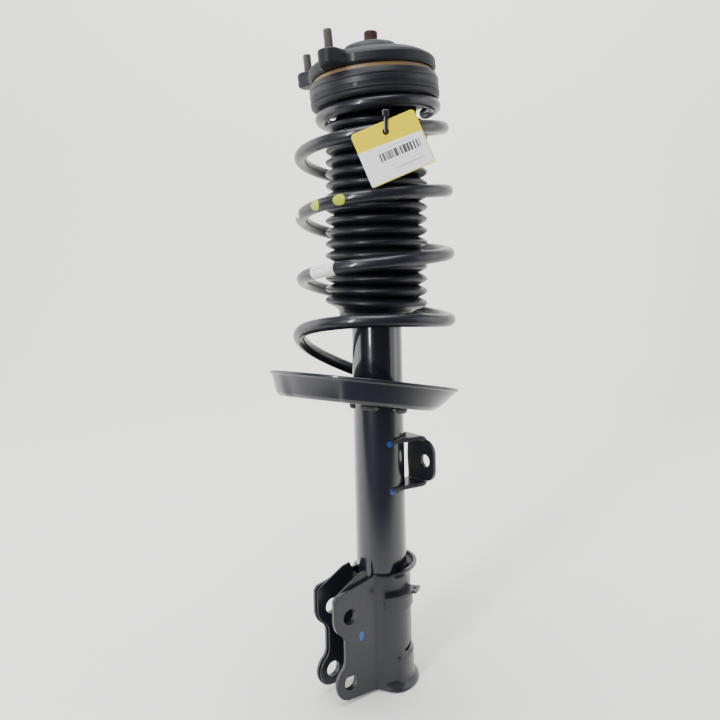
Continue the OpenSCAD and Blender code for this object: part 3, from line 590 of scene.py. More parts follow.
# %% The path of a wrapped plate
class Wrap:
    """Arc of radius round the tube, bend outwards, then straight at y = +-ear_y towards -X."""

    def __init__(self, radius, ear_y, bend):
        self.radius, self.ear_y, self.bend_r = radius, ear_y, bend
        self.centre_y = ear_y + bend
        self.centre_x = math.sqrt((radius + bend) ** 2 - self.centre_y ** 2)
        self.leave = 180 - math.degrees(math.atan2(self.centre_y, self.centre_x))
        self.arc_end = math.radians(self.leave) * radius
        self.sweep = self.leave - 90
        self.straight = self.arc_end + math.radians(self.sweep) * bend

    def along(self, x):
        """Length along the path to the place x in front of the axis, on the straight ear."""
        return self.straight + x - self.centre_x

    def place(self, s, depth):
        side, s = (1, s) if s >= 0 else (-1, -s)
        if s <= self.arc_end:
            azimuth = math.degrees(s / self.radius)
            return (self.radius + depth) * cosd(azimuth), side * (self.radius + depth) * sind(azimuth)
        if s <= self.straight:
            turned = math.degrees((s - self.arc_end) / self.bend_r)
            azimuth = self.leave + 180 - turned
            reach = self.bend_r - depth
            return -self.centre_x + reach * cosd(azimuth), side * (self.centre_y + reach * sind(azimuth))
        return -self.centre_x - (s - self.straight), side * (self.ear_y + depth)


HOLE_X, LOW_HOLE_Z, HIGH_HOLE_Z, HOLE_R = 53.0, 16.5, 77.5, 7.0
HIGH_LOBE_R, LOW_LOBE_R, WAIST_X, FILLET_R = 18.0, 16.0, 58.5, 12.0


def ear_side(wrap, crest, inset_by=0.0):
    """The ear's outline: its upper edge (crest), the tip, the two lobes, and round to its bottom edge."""
    high_r, low_r, fillet = HIGH_LOBE_R - inset_by, LOW_LOBE_R - inset_by, FILLET_R + inset_by
    fillet_x = WAIST_X + FILLET_R
    high_dz = math.sqrt((high_r + fillet) ** 2 - (fillet_x - HOLE_X) ** 2)
    low_dz = math.sqrt((low_r + fillet) ** 2 - (fillet_x - HOLE_X) ** 2)
    swing_high = math.degrees(math.atan2(high_dz, fillet_x - HOLE_X))
    swing_low = math.degrees(math.atan2(low_dz, fillet_x - HOLE_X))
    tip = HOLE_X + high_r
    points = rounded([*crest, (tip - 3, 100.0 - inset_by), (tip, 96.0), (tip, HIGH_HOLE_Z)], 2.5,
        closed=False)
    points += arc(HOLE_X, HIGH_HOLE_Z, high_r, 0, -swing_high, 10)[1:]
    points += arc(fillet_x, HIGH_HOLE_Z - high_dz, fillet, 180 - swing_high, 180, 8)[1:]
    points += arc(fillet_x, LOW_HOLE_Z + low_dz, fillet, 180, 180 + swing_low, 8)[1:]
    points += arc(HOLE_X, LOW_HOLE_Z, low_r, swing_low, -90, 24)[1:]
    return [(wrap.along(x), z) for x, z in points]


def mirrored(half):
    """The whole outline, from the half of it that lies at s >= 0."""
    return [(-s, z) for s, z in half] + [(s, z) for s, z in reversed(half[1:-1])]


def bolt_holes(wrap):
    return [hole(side * wrap.along(HOLE_X), z, HOLE_R) for side in (-1, 1) for z in (LOW_HOLE_Z, HIGH_HOLE_Z)]


def smooth_edge(corners, radius):
    return rounded(corners, radius, steps=5, closed=False)


def densify(loop, gap):
    """Extra points, so that no edge is longer than gap."""
    out = []
    for (x0, y0), (x1, y1) in zip(loop, loop[1:] + loop[:1]):
        steps = max(1, math.ceil(math.hypot(x1 - x0, y1 - y0) / gap))
        out += [(x0 + (x1 - x0) * k / steps, y0 + (y1 - y0) * k / steps) for k in range(steps)]
    return out


# %% The bracket's outline and flares
WRAP = Wrap(26.75, 15.75, 6.0)
LIP_TOP, LIP_LOW, LIP_OUT, TOP_END, LIP_FADE, LOW_END, LOW_FADE = 112.5, -3.5, 6.5, 46.0, 8.0, 64.0, 20.0
SHOULDER = (27.0, 107.0)
top_edge = smooth_edge([
    (0, LIP_TOP), (TOP_END - 4, LIP_TOP), (TOP_END + 5, 106.6), (WRAP.straight, 106.8),
    (WRAP.along(SHOULDER[0]), SHOULDER[1]),
], 6.0)
low_edge = smooth_edge([(WRAP.along(50.0), 0.4), (WRAP.straight, -1.2), (50.0, LIP_LOW), (0, LIP_LOW)], 5.0)
half = top_edge[:-1] + ear_side(WRAP, [SHOULDER]) + low_edge
outline = mirrored(half)


def flare(s, z):
    """How far the plate stands out from the plain wrap: flared lips and the pressed belt at the foot."""
    top_lip = ease((z - 102.0) / 9.0) * (1 - ease((abs(s) - TOP_END + 2) / LIP_FADE))
    low_lip = ease((6.5 - z) / 8.5) * (1 - ease((abs(s) - LOW_END + LOW_FADE) / LOW_FADE))
    belt = ease((z - 3.0) / 2.0) * ease((28.5 - z) / 3.0) * (1 - ease((abs(s) - 44) / 5.0))
    return LIP_OUT * (top_lip + low_lip) + 1.8 * belt


def bend_bracket(s, z, depth):
    x, y = WRAP.place(s, depth + flare(s, z))
    return x, y, z


def crescent(s, z, half_width, tilt, steps=12):
    """A curved slot, clockwise, with its horns pointing up."""
    upper = [(half_width * cosd(a), -0.1 * half_width * sind(a))
        for a in [180 - 180 * k / steps for k in range(steps)]]
    lower = [(half_width * cosd(a), -0.62 * half_width * sind(a))
        for a in [180 * k / steps for k in range(steps)]]
    return [
        (s + x * cosd(tilt) - y * sind(tilt), z + x * sind(tilt) + y * cosd(tilt))
        for x, y in upper + lower
    ]


slot = crescent(-31.7, 34.0, 7.0, 18.0)
cuts = [k * 2.4 for k in range(-31, 32)]
levels = [-3.0 + k * 0.9 for k in range(12)] + [24.0 + k * 0.8 for k in range(7)]
levels += [60.0 + k for k in range(6)] + [88.0 + k for k in range(6)]
levels += [101.0 + k * 0.9 for k in range(13)] + [34.0, 46.0, 72.0, 80.0]
make(
    "bracket_plate", plate([densify(outline, 3.0), slot] + bolt_holes(WRAP), 3.5, cuts, levels, bend_bracket),
    "strut_housing", ["knuckle_bracket"], bracket_paint, flat_faces=True,
)

# %% The channel between the ears
CHANNEL_Y, CHANNEL_T, BASE_R, CORNER_R = 12.75, 2.5, 26.25, 4.0


class Channel:
    """Arc on the tube's front, a corner, then straight at y = +-CHANNEL_Y towards -X. s = 0 is on -X."""

    def __init__(self):
        self.lean = math.degrees(math.asin((CHANNEL_Y - CORNER_R) / (BASE_R + CORNER_R)))
        self.arc_end = math.radians(self.lean) * BASE_R
        self.centre_x = (BASE_R + CORNER_R) * cosd(self.lean)
        self.sweep = 90 - self.lean
        self.straight = self.arc_end + math.radians(self.sweep) * CORNER_R

    def along(self, x):
        return self.straight + x - self.centre_x

    def place(self, s, depth):
        """depth is towards the tube and the bracket."""
        side, s = (1, s) if s >= 0 else (-1, -s)
        if s <= self.arc_end:
            azimuth = math.degrees(s / BASE_R)
            return -(BASE_R - depth) * cosd(azimuth), side * (BASE_R - depth) * sind(azimuth)
        if s <= self.straight:
            turned = math.degrees((s - self.arc_end) / CORNER_R)
            azimuth = self.lean + turned
            reach = CORNER_R + depth
            y = CHANNEL_Y - CORNER_R + reach * sind(azimuth)
            return -self.centre_x + reach * cosd(azimuth), side * y
        return -self.centre_x - (s - self.straight), side * (CHANNEL_Y + depth)


channel = Channel()
channel_top = smooth_edge([(0, 98.0), (channel.straight - 3.0, 104.0), (channel.along(31.0), 113.5)], 3.0)
channel_low = smooth_edge([(channel.along(50.0), 2.0), (channel.straight, 5.0), (0, 9.0)], 3.0)
half = channel_top[:-1] + ear_side(channel, [(31.0, 113.5), (39.0, 112.0)], 1.5) + channel_low
channel_outline = mirrored(half)
make(
    "channel_plate", plate(
        [densify(channel_outline, 4.0)] + bolt_holes(channel), CHANNEL_T, [k * 1.5 for k in range(-14, 15)],
        (),
        lambda s, z, depth: (*channel.place(s, depth), z),
    ), "strut_housing", ["clevis_channel"], bracket_paint, flat_faces=True,
)

# %% [markdown]
# ## Step 3: the stabiliser link bracket and the weld beads

# %% Link bracket
LINK_X, LINK_T, LINK_Y, LINK_Z = 34.0, 4.0, 32.0, 211.0
BEND_R, HALF_H = 5.0, 23.0


def bend_link(s, y, depth):
    """s runs up the face of the plate; past each bend it runs in towards the tube."""
    side, height = (1, s) if s >= 0 else (-1, -s)
    flat = HALF_H - BEND_R
    if height <= flat:
        return LINK_X + depth, y, LINK_Z + s
    turned = math.degrees((height - flat) / BEND_R)
    if turned <= 90:
        reach = BEND_R + depth
        return LINK_X - BEND_R + reach * cosd(turned), y, LINK_Z + side * (flat + reach * sind(turned))
    x = LINK_X - BEND_R - (height - flat - math.radians(90) * BEND_R)
    return x, y, LINK_Z + side * (HALF_H + depth)


def link_s(x):
    """Length along the plate to a place x on a flange."""
    return HALF_H - BEND_R + math.radians(90) * BEND_R + LINK_X - BEND_R - x


flange = [(link_s(TUBE_R * cosd(a)), TUBE_R * sind(a)) for a in range(-100, -10, 6)]
link_half = smooth_edge([(0, -5.0), (link_s(26.0), -5.0)], 0)[:-1] + flange[::-1]
link_half += [(link_s(-5.0), -25.5), (link_s(26.0), -31.0)] + arc(8.0, -32.0, 12.0, 0, -90, 10) + [(0, -44.0)]
link_outline = [(s, y) for s, y in link_half] + [(-s, y) for s, y in reversed(link_half[1:-1])]
make(
    "link_plate", plate(
        [densify(link_outline[::-1], 2.5), hole(0, -LINK_Y, 6.0)], LINK_T,
        [side * (18.0 + k * 0.8) for side in (-1, 1) for k in range(12)], (), bend_link,
    ), "strut_housing", ["link_bracket"], bracket_paint, flat_faces=True,
)

# %% Weld beads
def bead(points, radius, ripple=0.16, pitch=2.2):
    """A rippled bead along points, tapered at both ends; the ripples are pitch apart."""
    lengths = [0.0]
    for a, b in zip(points, points[1:]):
        lengths.append(lengths[-1] + (b - a).length)
    total = lengths[-1]

    def section(i, k, sides=12):
        run = lengths[i]
        taper = ease(run / 2.5) * ease((total - run) / 2.5) * 0.75 + 0.25
        size = radius * taper * (1 + ripple * math.cos(math.tau * run / pitch))
        return size * cosd(360 * k / sides), size * sind(360 * k / sides)
    return swept(points, section, sides=12)


def round_tube(radius, start, end, height, step=1.2):
    count = max(2, round(abs(end - start) / step))
    azimuths = [start + (end - start) * k / count for k in range(count + 1)]
    return [Vector((radius * cosd(a), radius * sind(a), height(a))) for a in azimuths]


def joined(parts):
    """Several bmeshes in one."""
    whole = bmesh.new()
    for part in parts:
        mesh = bpy.data.meshes.new("part")
        part.to_mesh(mesh)
        part.free()
        whole.from_mesh(mesh)
        bpy.data.meshes.remove(mesh)
    return whole


def under_seat(azimuth):
    """Height of the underside of the seat's floor at the tube."""
    reach = SEAT_DEPTH + SEAT_T
    return SEAT_Z - reach / cosd(SEAT_TILT) + seat_slope * TUBE_R * cosd(azimuth - SEAT_HIGH_AZ)


make("link_beads", joined([
    bead(round_tube(TUBE_R + 0.4, -94, -22, lambda a, z=z: z), 1.7) for z in (LINK_Z - 25.3, LINK_Z + 25.3)
]), "strut_housing", ["link_weld"], weld_paint, angle=60)
make("seat_beads", joined([
    bead(round_tube(TUBE_R + 0.8, start, end, lambda a: under_seat(a) - 3.0), 3.0, 0.12)
    for start, end in ((190, 234), (262, 332), (350, 418), (70, 160))
]), "strut_housing", ["seat_weld"], weld_paint, angle=60)

# %% [markdown]
# ## Step 4: the lower spring seat
# A pressed dish, tilted on the tube. A step in its wall marks where the end of the spring lies.

# %% Seat dish
SCOOP = 10.0


def dish(steps=240):
    profile = rounded([
        (TUBE_R + 0.3, -SEAT_DEPTH), (SEAT_FLOOR_R, -SEAT_DEPTH), (87.3, -2.6), (89.5, 0), (SEAT_RIM_R, 0),
        (SEAT_RIM_R, -SEAT_T), (90.7, -SEAT_T - 1.0), (84.7, -SEAT_DEPTH + 0.6), (81.1, -SEAT_DEPTH - SEAT_T),
        (TUBE_R + 0.3, -SEAT_DEPTH - SEAT_T),
    ], [0.5, 5.0, 2.0, 2.0, 1.1, 1.1, 2.5, 2.5, 4.5, 0.5], steps=5)
    rows = []
    for i in range(steps):
        azimuth = 360 * i / steps
        step = ease((azimuth - 172) / 10) * (1 - ease((azimuth - 217) / 5))
        scoop = ease(1 - abs(azimuth - 315) / 55)
        row = []
        for r, z in profile:
            wall = ease((r - 74) / 6) * ease((-z - 3) / 5)
            r -= 3.2 * step * wall + SCOOP * scoop * min(-z / SEAT_DEPTH, 1.0) ** 2 * (z < 0) * (r > 60)
            row.append((r * cosd(azimuth), r * sind(azimuth), z))
        rows.append(row)
    bm, lines = grid(rows, closed_columns=True)
    shift = Vector((-seat_x, -seat_y, 0))
    for line in lines:
        for index, vert in enumerate(line):
            r = math.hypot(vert.co.x, vert.co.y)
            if r < TUBE_R + 20:
                vert.co += shift * (1 - ease((r - TUBE_R - 6) / 14))
    return bm


make("seat_dish", dish(), "strut_housing", [], seat_paint, place=ON_SEAT)
NECK_LOW, NECK_RAMP = 262.0, 18.0
neck = spun(rounded([
    (TUBE_R, NECK_LOW), (TUBE_R + 6.5, NECK_LOW), (TUBE_R + 2.6, 268.5), (TUBE_R + 2.6, 280.8),
    (TUBE_R, 280.8),
], [0, 0, 3, 1.2, 0]), 96)
for vert in neck.verts:
    azimuth = math.degrees(math.atan2(vert.co.y, vert.co.x))
    rise = seat_slope * TUBE_R * cosd(azimuth - SEAT_HIGH_AZ)
    foot_share = 1 - ease((vert.co.z - NECK_LOW) / NECK_RAMP)
    vert.co.z += rise * foot_share + 5.0 * foot_share
make("seat_neck", neck, "strut_housing", [], seat_paint)
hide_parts("lower_spring_seat")

# %% [markdown]
# ## Step 5: the coil spring and the dust boot
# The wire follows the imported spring's own lead, with more sides and finer steps.
# Both pieces flatten with the stroke.


# %% Spring centreline
def corner(x, r):
    return 0 if x < -r / 2 else x if x > r / 2 else (x + r / 2) ** 2 / (2 * r)


def lead(a):
    climb = LOW_CLIMB * corner(a - COIL_LOW, LOW_CORNER)
    climb -= (LOW_CLIMB - 1) * corner(a - COIL_KNEE, KNEE_CORNER)
    whole = COIL_HIGH - COIL_LOW + (LOW_CLIMB - 1) * (COIL_KNEE - COIL_LOW)
    return (climb - corner(a - COIL_HIGH, HIGH_CORNER)) / whole


def low_share(a):
    """How much the coils still follow the seat's tilt."""
    return 1 - 0.68 * ease((a - COIL_LOW - 225) / 330) - 0.32 * ease((a - COIL_LOW - 895) / 500)


def lean_share(a):
    """How much the coils still lean into the seat."""
    return 1 - ease((a - COIL_LOW + 60) / 420)


def high_share(a):
    return ease((a - COIL_HIGH + 130) / 200)


def wire_radius(a):
    closing = (COIL_TOP_R - COIL_R) * ease((a - COIL_HIGH + 180) / 270)
    return COIL_R + closing - LOW_CURL * ease((COIL_LOW + 120 - a) / 140)


def wire_centre(a):
    radius = wire_radius(a)
    leaned = LOW_LEAN * lean_share(a)
    height = LOW_HEIGHT + (HIGH_HEIGHT - LOW_HEIGHT) * lead(a)
    rise = radius * cosd(a - SEAT_HIGH_AZ) + leaned * cosd(STACK_LOW_AZ - SEAT_HIGH_AZ)
    height += seat_slope * low_share(a) * rise
    height -= radius * math.tan(math.radians(STACK_TILT)) * cosd(a - STACK_LOW_AZ) * high_share(a)
    shift = high_share(a) * 1.4 * sind(STACK_TILT) * (PIVOT_Z - HIGH_HEIGHT) - leaned
    return Vector((radius * cosd(a) - shift * cosd(STACK_LOW_AZ),
        radius * sind(a) - shift * sind(STACK_LOW_AZ), height))


# %% Spring
SIDES = 28
STEPS = 576
turns = [COIL_START + (COIL_END - COIL_START) * k / STEPS for k in range(STEPS + 1)]
ends = {0: 0.86, 1: 0.97, len(turns) - 2: 0.97, len(turns) - 1: 0.86}


def wire_section(i, k):
    size = WIRE_R * ends.get(i, 1.0)
    return size * math.cos(math.tau * k / SIDES), size * math.sin(math.tau * k / SIDES)


spring = make(
    "spring_wire", swept([wire_centre(a) for a in turns], wire_section, SIDES, layer="wire",
                         spacing=lambda i: math.radians(turns[i]) * COIL_R),
    "strut_housing", ["coil_spring"], spring_paint, angle=50,
)
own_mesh(spring)

# %% Dust boot
FOLDS, FOLD_LOW, FOLD_HIGH, PEAK_R, VALLEY_R, WALL = 16, 364.0, 549.6, 51.0, 42.0, 1.5
pitch = (FOLD_HIGH - FOLD_LOW) / FOLDS
BOOT_LEAN = 4.0


def boot_profile():
    outer = rounded([(37.0, BOOT_FOOT), (37.0, BOOT_FOOT + 9.5), (VALLEY_R - 1.0, FOLD_LOW)], [0, 2.5, 0],
        closed=False)
    steps = 12
    for i in range(FOLDS):
        for k in range(steps):
            share = abs(math.sin(math.pi * k / steps)) ** 0.86
            outer.append((VALLEY_R + (PEAK_R - VALLEY_R) * share, FOLD_LOW + pitch * (i + k / steps)))
    outer += [(VALLEY_R, FOLD_HIGH), (40.0, FOLD_HIGH + 4), (40.0, 568.0)]
    inner = [(r - WALL, z) for r, z in reversed(outer)]
    return outer + inner


boot_mesh = spun(boot_profile(), 144)
for vert in boot_mesh.verts:
    sag = 1 - ease((vert.co.z - FOLD_LOW) / 60)
    held = ease((vert.co.z - BOOT_FOOT - 6) / 8)
    vert.co.z -= 0.05 * (0.795 * vert.co.x - 0.606 * vert.co.y) * sag * held
    drift = BOOT_LEAN * min(max((vert.co.z - FOLD_LOW) / (FOLD_HIGH - FOLD_LOW), 0.0), 1.0)
    vert.co -= Vector((cosd(STACK_LOW_AZ), sind(STACK_LOW_AZ), 0)) * drift
boot = make("boot_bellows", boot_mesh, "strut_housing", ["dust_boot"], boot_rubber, angle=70)
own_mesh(boot)

# %% [markdown]
# ## Step 6: the bearing and the top mount
# Everything here is turned about the tilted axis of the mount.

# %% Pad, housing and race
make("top_pad", spun(rounded([
    (48.4, -44.0), (61.5, -44.0), (64.0, -42.0), (64.5, -39.5), (63.3, -38.6), (64.6, -37.6), (64.6, -36.0),
    (48.4, -36.0),
], [0.5, 1.5, 2.0, 0.8, 0.5, 0.5, 0.4, 0.5]), 192), "spring_top", ["upper_spring_pad"], pad_rubber,
place=ON_STACK)
BALL_R, BALL_Z, RACE_R = 50.0, -22.9, 3.0
make("bearing_housing", spun(rounded([
    (36.0, -33.0), (64.3, -33.0), (64.6, -32.4), (64.6, -27.4), (63.9, -26.6), (64.7, -25.8), (64.7, -25.0),
    (63.0, -19.6), (56.2, -19.4), (56.2, -24.6), *arc(BALL_R, BALL_Z, RACE_R, -34.5, -145.5, 10),
    (43.8, -24.6), (43.8, -19.4), (36.0, -19.4),
], [0.5, 0.4, 0.4, 0.3, 0.3, 0.3, 0.5, 1.2, 0.5, 0] + [0] * 11 + [0, 0.3, 0.5]), 192), "spring_top",
["bearing_lower_ring"], black_plastic, place=ON_STACK)
make("race_ring", spun(rounded([
    (55.6, -19.0), (59.0, -18.9), (59.0, -15.1), (37.0, -15.1), (37.0, -19.0), (44.4, -19.0), (44.4, -21.2),
    *arc(BALL_R, BALL_Z, RACE_R, 145.5, 34.5, 10), (55.6, -21.2),
], [0.2, 0.4, 0.4, 0.4, 0.4, 0.2, 0] + [0] * 12), 192), "top_mount", ["bearing_upper_ring"], race_plastic,
place=ON_STACK)

# %% Mount plate with its lobes
def lobe(azimuth):
    return max(math.exp(-(abs((azimuth - a + 180) % 360 - 180) / 9.8) ** 3.2) for a in STUD_AZIMUTHS)


def mount_mesh(steps=360):
    """The rim's profile and the lobe's profile, blended round the plate."""
    rim = rounded([(32, -15), (61.5, -15), (63.5, -13), (63.5, -5.5), (61.2, -2.4), (52.5, 3), (38.0, 3),
        (32, 3)],
                  [0, 1.2, 1.2, 2.0, 2.0, 3.0, 1.5, 0], steps=5)
    arm = rounded([(32, -15), (77.2, -14), (79.4, -12.2), (79.4, -0.6), (78.2, 1), (54, 1), (46, 3), (32, 3)],
                  [0, 1.2, 1.2, 0.8, 0.8, 4.0, 1.5, 0], steps=5)
    rows = []
    for i in range(steps):
        azimuth = 360 * i / steps
        w = lobe(azimuth)
        rows.append([
            ((a[0] + (b[0] - a[0]) * w) * cosd(azimuth), (a[0] + (b[0] - a[0]) * w) * sind(azimuth),
             a[1] + (b[1] - a[1]) * min(1.0, w * 1.6)) for a, b in zip(rim, arm)
        ])
    return grid(rows, closed_columns=True)[0]


make("mount_casting", mount_mesh(), "top_mount", ["mount_plate"], mount_paint, place=ON_STACK)
make("dome_cap", spun(rounded([
    (28.0, 0.4), (32.0, 0.4), (33.0, 3.0), (30.0, 10.9), (26.0, 15.4), (20.0, 17.5), (9.0, 17.5),
    (9.0, 15.5), (18.5, 15.5), (24.5, 13.4), (28.0, 10.0),
], [0.5, 0.5, 0.6, 5.0, 5.0, 5.0, 0.6, 0.4, 3.0, 3.0, 3.0]), 144), "top_mount", ["mount_dome"], mount_paint,
place=ON_STACK)

# %% Studs and rod
studs = []
for azimuth in STUD_AZIMUTHS:
    pin = threaded(STUD_R, 0.62, 1.25, 1.5, STUD_OUT + 2.0, 1.0, foot=15.0)
    bmesh.ops.transform(pin, matrix=turn("Z", azimuth) @ Matrix.Translation((STUD_RING_R, 0, 0)),
        verts=pin.verts)
    studs.append(pin)
make("threaded_studs", joined(studs), "top_mount", ["tower_studs"], stud_steel, place=ON_STACK,
    angle=50)
PISTON_Z, SHOULDER_Z, THREAD_Z, ROD_TOP = 305.5, 596.5, 611.0, 639.5
rod_body = spun([
    (0.0, PISTON_Z - 12), (6.0, PISTON_Z - 12), (7.0, PISTON_Z - 11), (7.0, PISTON_Z), (11.0, PISTON_Z),
    (11.0, SHOULDER_Z), (7.0, SHOULDER_Z), (7.0, THREAD_Z), (0.0, THREAD_Z),
], 96, solid=True)
rod_tip = threaded(6.95, 0.55, 1.5, THREAD_Z, ROD_TOP, 1.2, recess=3.6, sides=48)
make("rod_and_tip", joined([rod_body, rod_tip]), "rod", ["piston_rod"], rod_steel, angle=50)

# %% [markdown]
# ## Step 7: the inspection card and its tie

# %% Card
CARD_AZ, CARD_FACE, CARD_X, CARD_Z, CARD_TURN = 232.7, 81.75, 16.0, 510.2, 22.0
CARD_W, CARD_H, CARD_T, HOLE_V = 61.0, 51.0, 0.8, 16.2
ON_CARD = (
    Matrix.Translation((CARD_FACE * cosd(CARD_AZ), CARD_FACE * sind(CARD_AZ), 0)) @ turn("Z", CARD_AZ + 90)
    @ turn("X", 90) @ Matrix.Translation((CARD_X, CARD_Z, 0)) @ turn("Z", CARD_TURN)
)
card_loop = densify(rounded([
    (-CARD_W / 2, -CARD_H / 2), (CARD_W / 2, -CARD_H / 2), (CARD_W / 2, CARD_H / 2),
    (-CARD_W / 2, CARD_H / 2),
], [2.0, 2.0, 4.5, 4.5], steps=6), 2.5)
card_mesh = plate(
    [card_loop, hole(0, HOLE_V, 3.0, 28)], CARD_T, [k * 4.0 for k in range(-7, 8)],
    [k * 4.0 for k in range(-6, 7)],
    lambda x, y, depth: (x, y, depth + CARD_T / 2), edge=0.15,
)
layer = card_mesh.loops.layers.uv.new("card")
for face in card_mesh.faces:
    for loop in face.loops:
        loop[layer].uv = (loop.vert.co.x * MM, loop.vert.co.y * MM)
make("card_sheet", card_mesh, "tag", ["tag_card"], tag_print, place=ON_CARD, angle=30)

# %% Tie
hole_x = CARD_X - HOLE_V * sind(CARD_TURN)
hole_z = CARD_Z + HOLE_V * cosd(CARD_TURN)
tie_az = CARD_AZ + 1080 + math.degrees(math.asin(hole_x / COIL_R))
dx, dz = -(CARD_FACE - COIL_R), wire_centre(tie_az).z - hole_z
ON_TIE = (
    Matrix.Translation((CARD_FACE * cosd(CARD_AZ), CARD_FACE * sind(CARD_AZ), 0)) @ turn("Z", CARD_AZ)
    @ Matrix.Translation((0, hole_x, hole_z))
)
reach = WIRE_R + 2.2
path = rounded([
    (2.1, -0.7), (2.1, 15.3), (0.0, 18.0), (dx + 1.6, 18.0), (dx - reach, dz + 5.0), (dx - reach, dz - 3.4),
    (dx - 3.4, dz - reach), (dx + 3.4, dz - reach), (-1.0, -1.9),
], [0.6, 2.5, 2.5, 5.0, 5.0, 4.0, 4.0, 2.0, 1.0], steps=5)
strap = [Vector((x, 0, z)) for x, z in path]


def tie_mesh():
    rows = []
    for i, here in enumerate(strap):
        along = (strap[(i + 1) % len(strap)] - strap[i - 1]).normalized()
        side = Vector((along.z, 0, -along.x))
        rows.append([
            here + side * u + Vector((0, v, 0))
            for u, v in ((0.6, -1.2), (0.6, 1.2), (0.35, 1.5), (-0.35, 1.5), (-0.6, 1.2), (-0.6, -1.2),
                (-0.35, -1.5), (0.35, -1.5))
        ])
    return grid(rows, closed_columns=True)[0]


def block(low, high, edge):
    bm = bmesh.new()
    bmesh.ops.create_cube(bm, size=1)
    for vert in bm.verts:
        vert.co = Vector([(a + b) / 2 + c * (b - a) for a, b, c in zip(low, high, vert.co)])
    bmesh.ops.bevel(bm, geom=bm.edges[:], offset=edge, segments=3, affect="EDGES", profile=0.5, material=-1,
        clamp_overlap=True)
    return bm


head = block((1.4, -3.0, 13.4), (5.4, 3.0, 19.0), 1.0)
make("cable_tie", joined([tie_mesh(), head]), "spring_top", ["tag_tie"], tie_plastic,
    place=ON_TIE, angle=45)

# %% [markdown]
# ## Step 8: the nodes that keep their own shape
# Each remaining node takes the material of its slot.

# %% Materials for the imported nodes
BY_NODE = {
    "outer_tube": tube_paint, "base_cap": tube_paint, "inner_cylinder": bare_steel,
    "foot_valve": sintered_steel,
    "rod_guide": sintered_steel, "rod_seal": rubber, "tube_end_cap": bare_steel, "boot_ring": black_plastic,
    "lower_spring_seat": seat_paint, "seat_weld": weld_paint, "lower_spring_pad": rubber,
    "knuckle_bracket": bracket_paint, "clevis_channel": bracket_paint, "hose_bracket": bracket_paint,
    "link_bracket": bracket_paint, "link_weld": weld_paint, "coil_spring": spring_paint,
    "dust_boot": boot_rubber,
    "upper_spring_pad": pad_rubber, "upper_spring_seat": mount_paint, "bump_stop": foam,
    "bearing_lower_ring": black_plastic, "bearing_cage": cage_plastic, "bearing_balls": ball_steel,
    "bearing_upper_ring": race_plastic, "mount_plate": mount_paint, "mount_rubber": rubber,
    "mount_dome": mount_paint, "tower_studs": stud_steel, "piston_rod": rod_steel, "piston": sintered_steel,
    "piston_band": black_plastic, "piston_nut": stud_steel, "rebound_stop": cage_plastic,
    "mount_sleeve": bare_steel, "mount_washer": bare_steel, "rod_nut": stud_steel, "tag_card": tag_print,
    "tag_tie": tie_plastic,
}
for node, material in BY_NODE.items():
    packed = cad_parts[node]
    packed.data.materials.clear()
    packed.data.materials.append(material)
print(f"{len(BY_NODE)} nodes painted")

# %% [markdown]
# ## Step 9: floor, light and camera
# A floor rises into a wall all round. Both are pale behind the strut and painted dark on the side of the camera:
# painted shade that stands in for the unlit room there.
# A narrow bright panel gives the long highlight on the tube, and wide soft panels give the grey edges.

# %% Floor and wall
FLOOR_Z, ROOM_R, ROOM_TOP, SWEEP = -3.9, 2400.0, 3200.0, 900.0
VIEW_AZ = 232.7


def room():
    profile = [(0.0, 0.0), (60.0, 0.0), (300.0, 0.0), (ROOM_R - SWEEP, 0.0)]
    profile += [(ROOM_R - SWEEP + SWEEP * sind(a), SWEEP * (1 - cosd(a))) for a in range(6, 91, 6)]
    profile.append((ROOM_R, ROOM_TOP))
    return spun(profile, 96, solid=True)


def wall_material():
    """Pale floor and backdrop; the half of the room behind the camera is painted dark, a painted shade for the
    unlit room there, for deep reflections.
    """
    g = Graph("wall")
    x, y = g.axes()[:2]
    # front: painted shade, a dark colour on the camera's side in place of an unlit room
    front = (x * cosd(VIEW_AZ) + y * sind(VIEW_AZ)).step(0.12, 0.5)
    colour = g.mix(front, rgb(0.84, 0.83, 0.81), rgb(0.07, 0.075, 0.085))
    return g.finish(Base_Color=colour, Roughness=0.9)


wall = wall_material()
shell = room()
bmesh.ops.transform(shell, matrix=Matrix.Scale(MM, 4) @ Matrix.Translation((0, 0, FLOOR_Z)),
    verts=shell.verts)
room_mesh = bpy.data.meshes.new("room")
shell.to_mesh(room_mesh)
shell.free()
room_mesh.flip_normals()
room_mesh.shade_smooth()
room_mesh.materials.append(wall)
floor = bpy.data.objects.new("room", room_mesh)
bpy.context.scene.collection.objects.link(floor)
print("room")

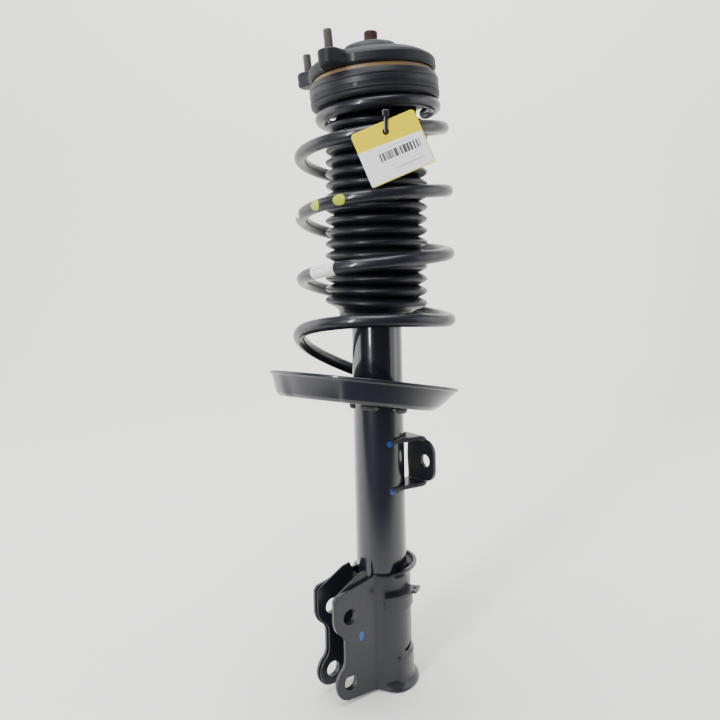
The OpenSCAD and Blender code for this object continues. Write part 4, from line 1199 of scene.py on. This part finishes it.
# %% Camera
EYE_Z, DISTANCE, SIDE_SHIFT, ROLL, SHIFT_Y = 416.5, 720.0, 15.2, 1.2, -0.146
toward = Vector((cosd(VIEW_AZ), sind(VIEW_AZ), 0))
right = Vector((cosd(VIEW_AZ + 90), sind(VIEW_AZ + 90), 0))
up = (Vector((0, 0, 1)) * cosd(ROLL) + right * sind(ROLL)).normalized()
across = up.cross(toward).normalized()
camera_data = bpy.data.cameras.new("camera")
camera_data.lens, camera_data.sensor_width, camera_data.shift_y = 36.0, 36.0, SHIFT_Y
camera_data.clip_start, camera_data.clip_end = 0.02, 20.0
camera = bpy.data.objects.new("camera", camera_data)
place = toward * DISTANCE - right * SIDE_SHIFT + Vector((0, 0, EYE_Z))
camera.matrix_world = Matrix.Translation(place * MM) @ Matrix((across, up, toward)).transposed().to_4x4()
bpy.context.scene.collection.objects.link(camera)
bpy.context.scene.camera = camera
print("camera at", [round(c, 3) for c in camera.location])


# %% Lights
def panel(name, azimuth, distance, height, width, tall, power, aim=(0, 0, 0.32), colour=(1, 1, 1)):
    """A soft panel at an azimuth round the strut, facing it. Metres and watts."""
    data = bpy.data.lights.new(name, "AREA")
    data.shape, data.size, data.size_y = "RECTANGLE", width, tall
    data.energy, data.color = power, colour
    lamp = bpy.data.objects.new(name, data)
    lamp.location = (distance * cosd(azimuth), distance * sind(azimuth), height)
    look = Vector(aim) - lamp.location
    lamp.rotation_euler = look.to_track_quat("-Z", "Y").to_euler()
    bpy.context.scene.collection.objects.link(lamp)


panel("window", VIEW_AZ - 34, 1.9, 0.9, 0.2, 1.3, 44)
panel("left_wall", VIEW_AZ - 100, 1.5, 0.7, 1.1, 1.6, 12)
panel("right_wall", VIEW_AZ + 80, 1.5, 0.5, 1.2, 1.8, 12)
panel("ceiling", VIEW_AZ - 20, 0.5, 2.3, 1.6, 1.6, 60)
panel("backdrop", VIEW_AZ + 180, 0.9, 2.3, 1.6, 0.8, 60,
    aim=(2.4 * cosd(VIEW_AZ + 180), 2.4 * sind(VIEW_AZ + 180), 0.7))
world = bpy.data.worlds.new("studio")
world.use_nodes = True
world.node_tree.nodes["Background"].inputs["Color"].default_value = (0.8, 0.82, 0.85, 1)
world.node_tree.nodes["Background"].inputs["Strength"].default_value = 0.3
bpy.context.scene.world = world
print("5 panels and the sky")
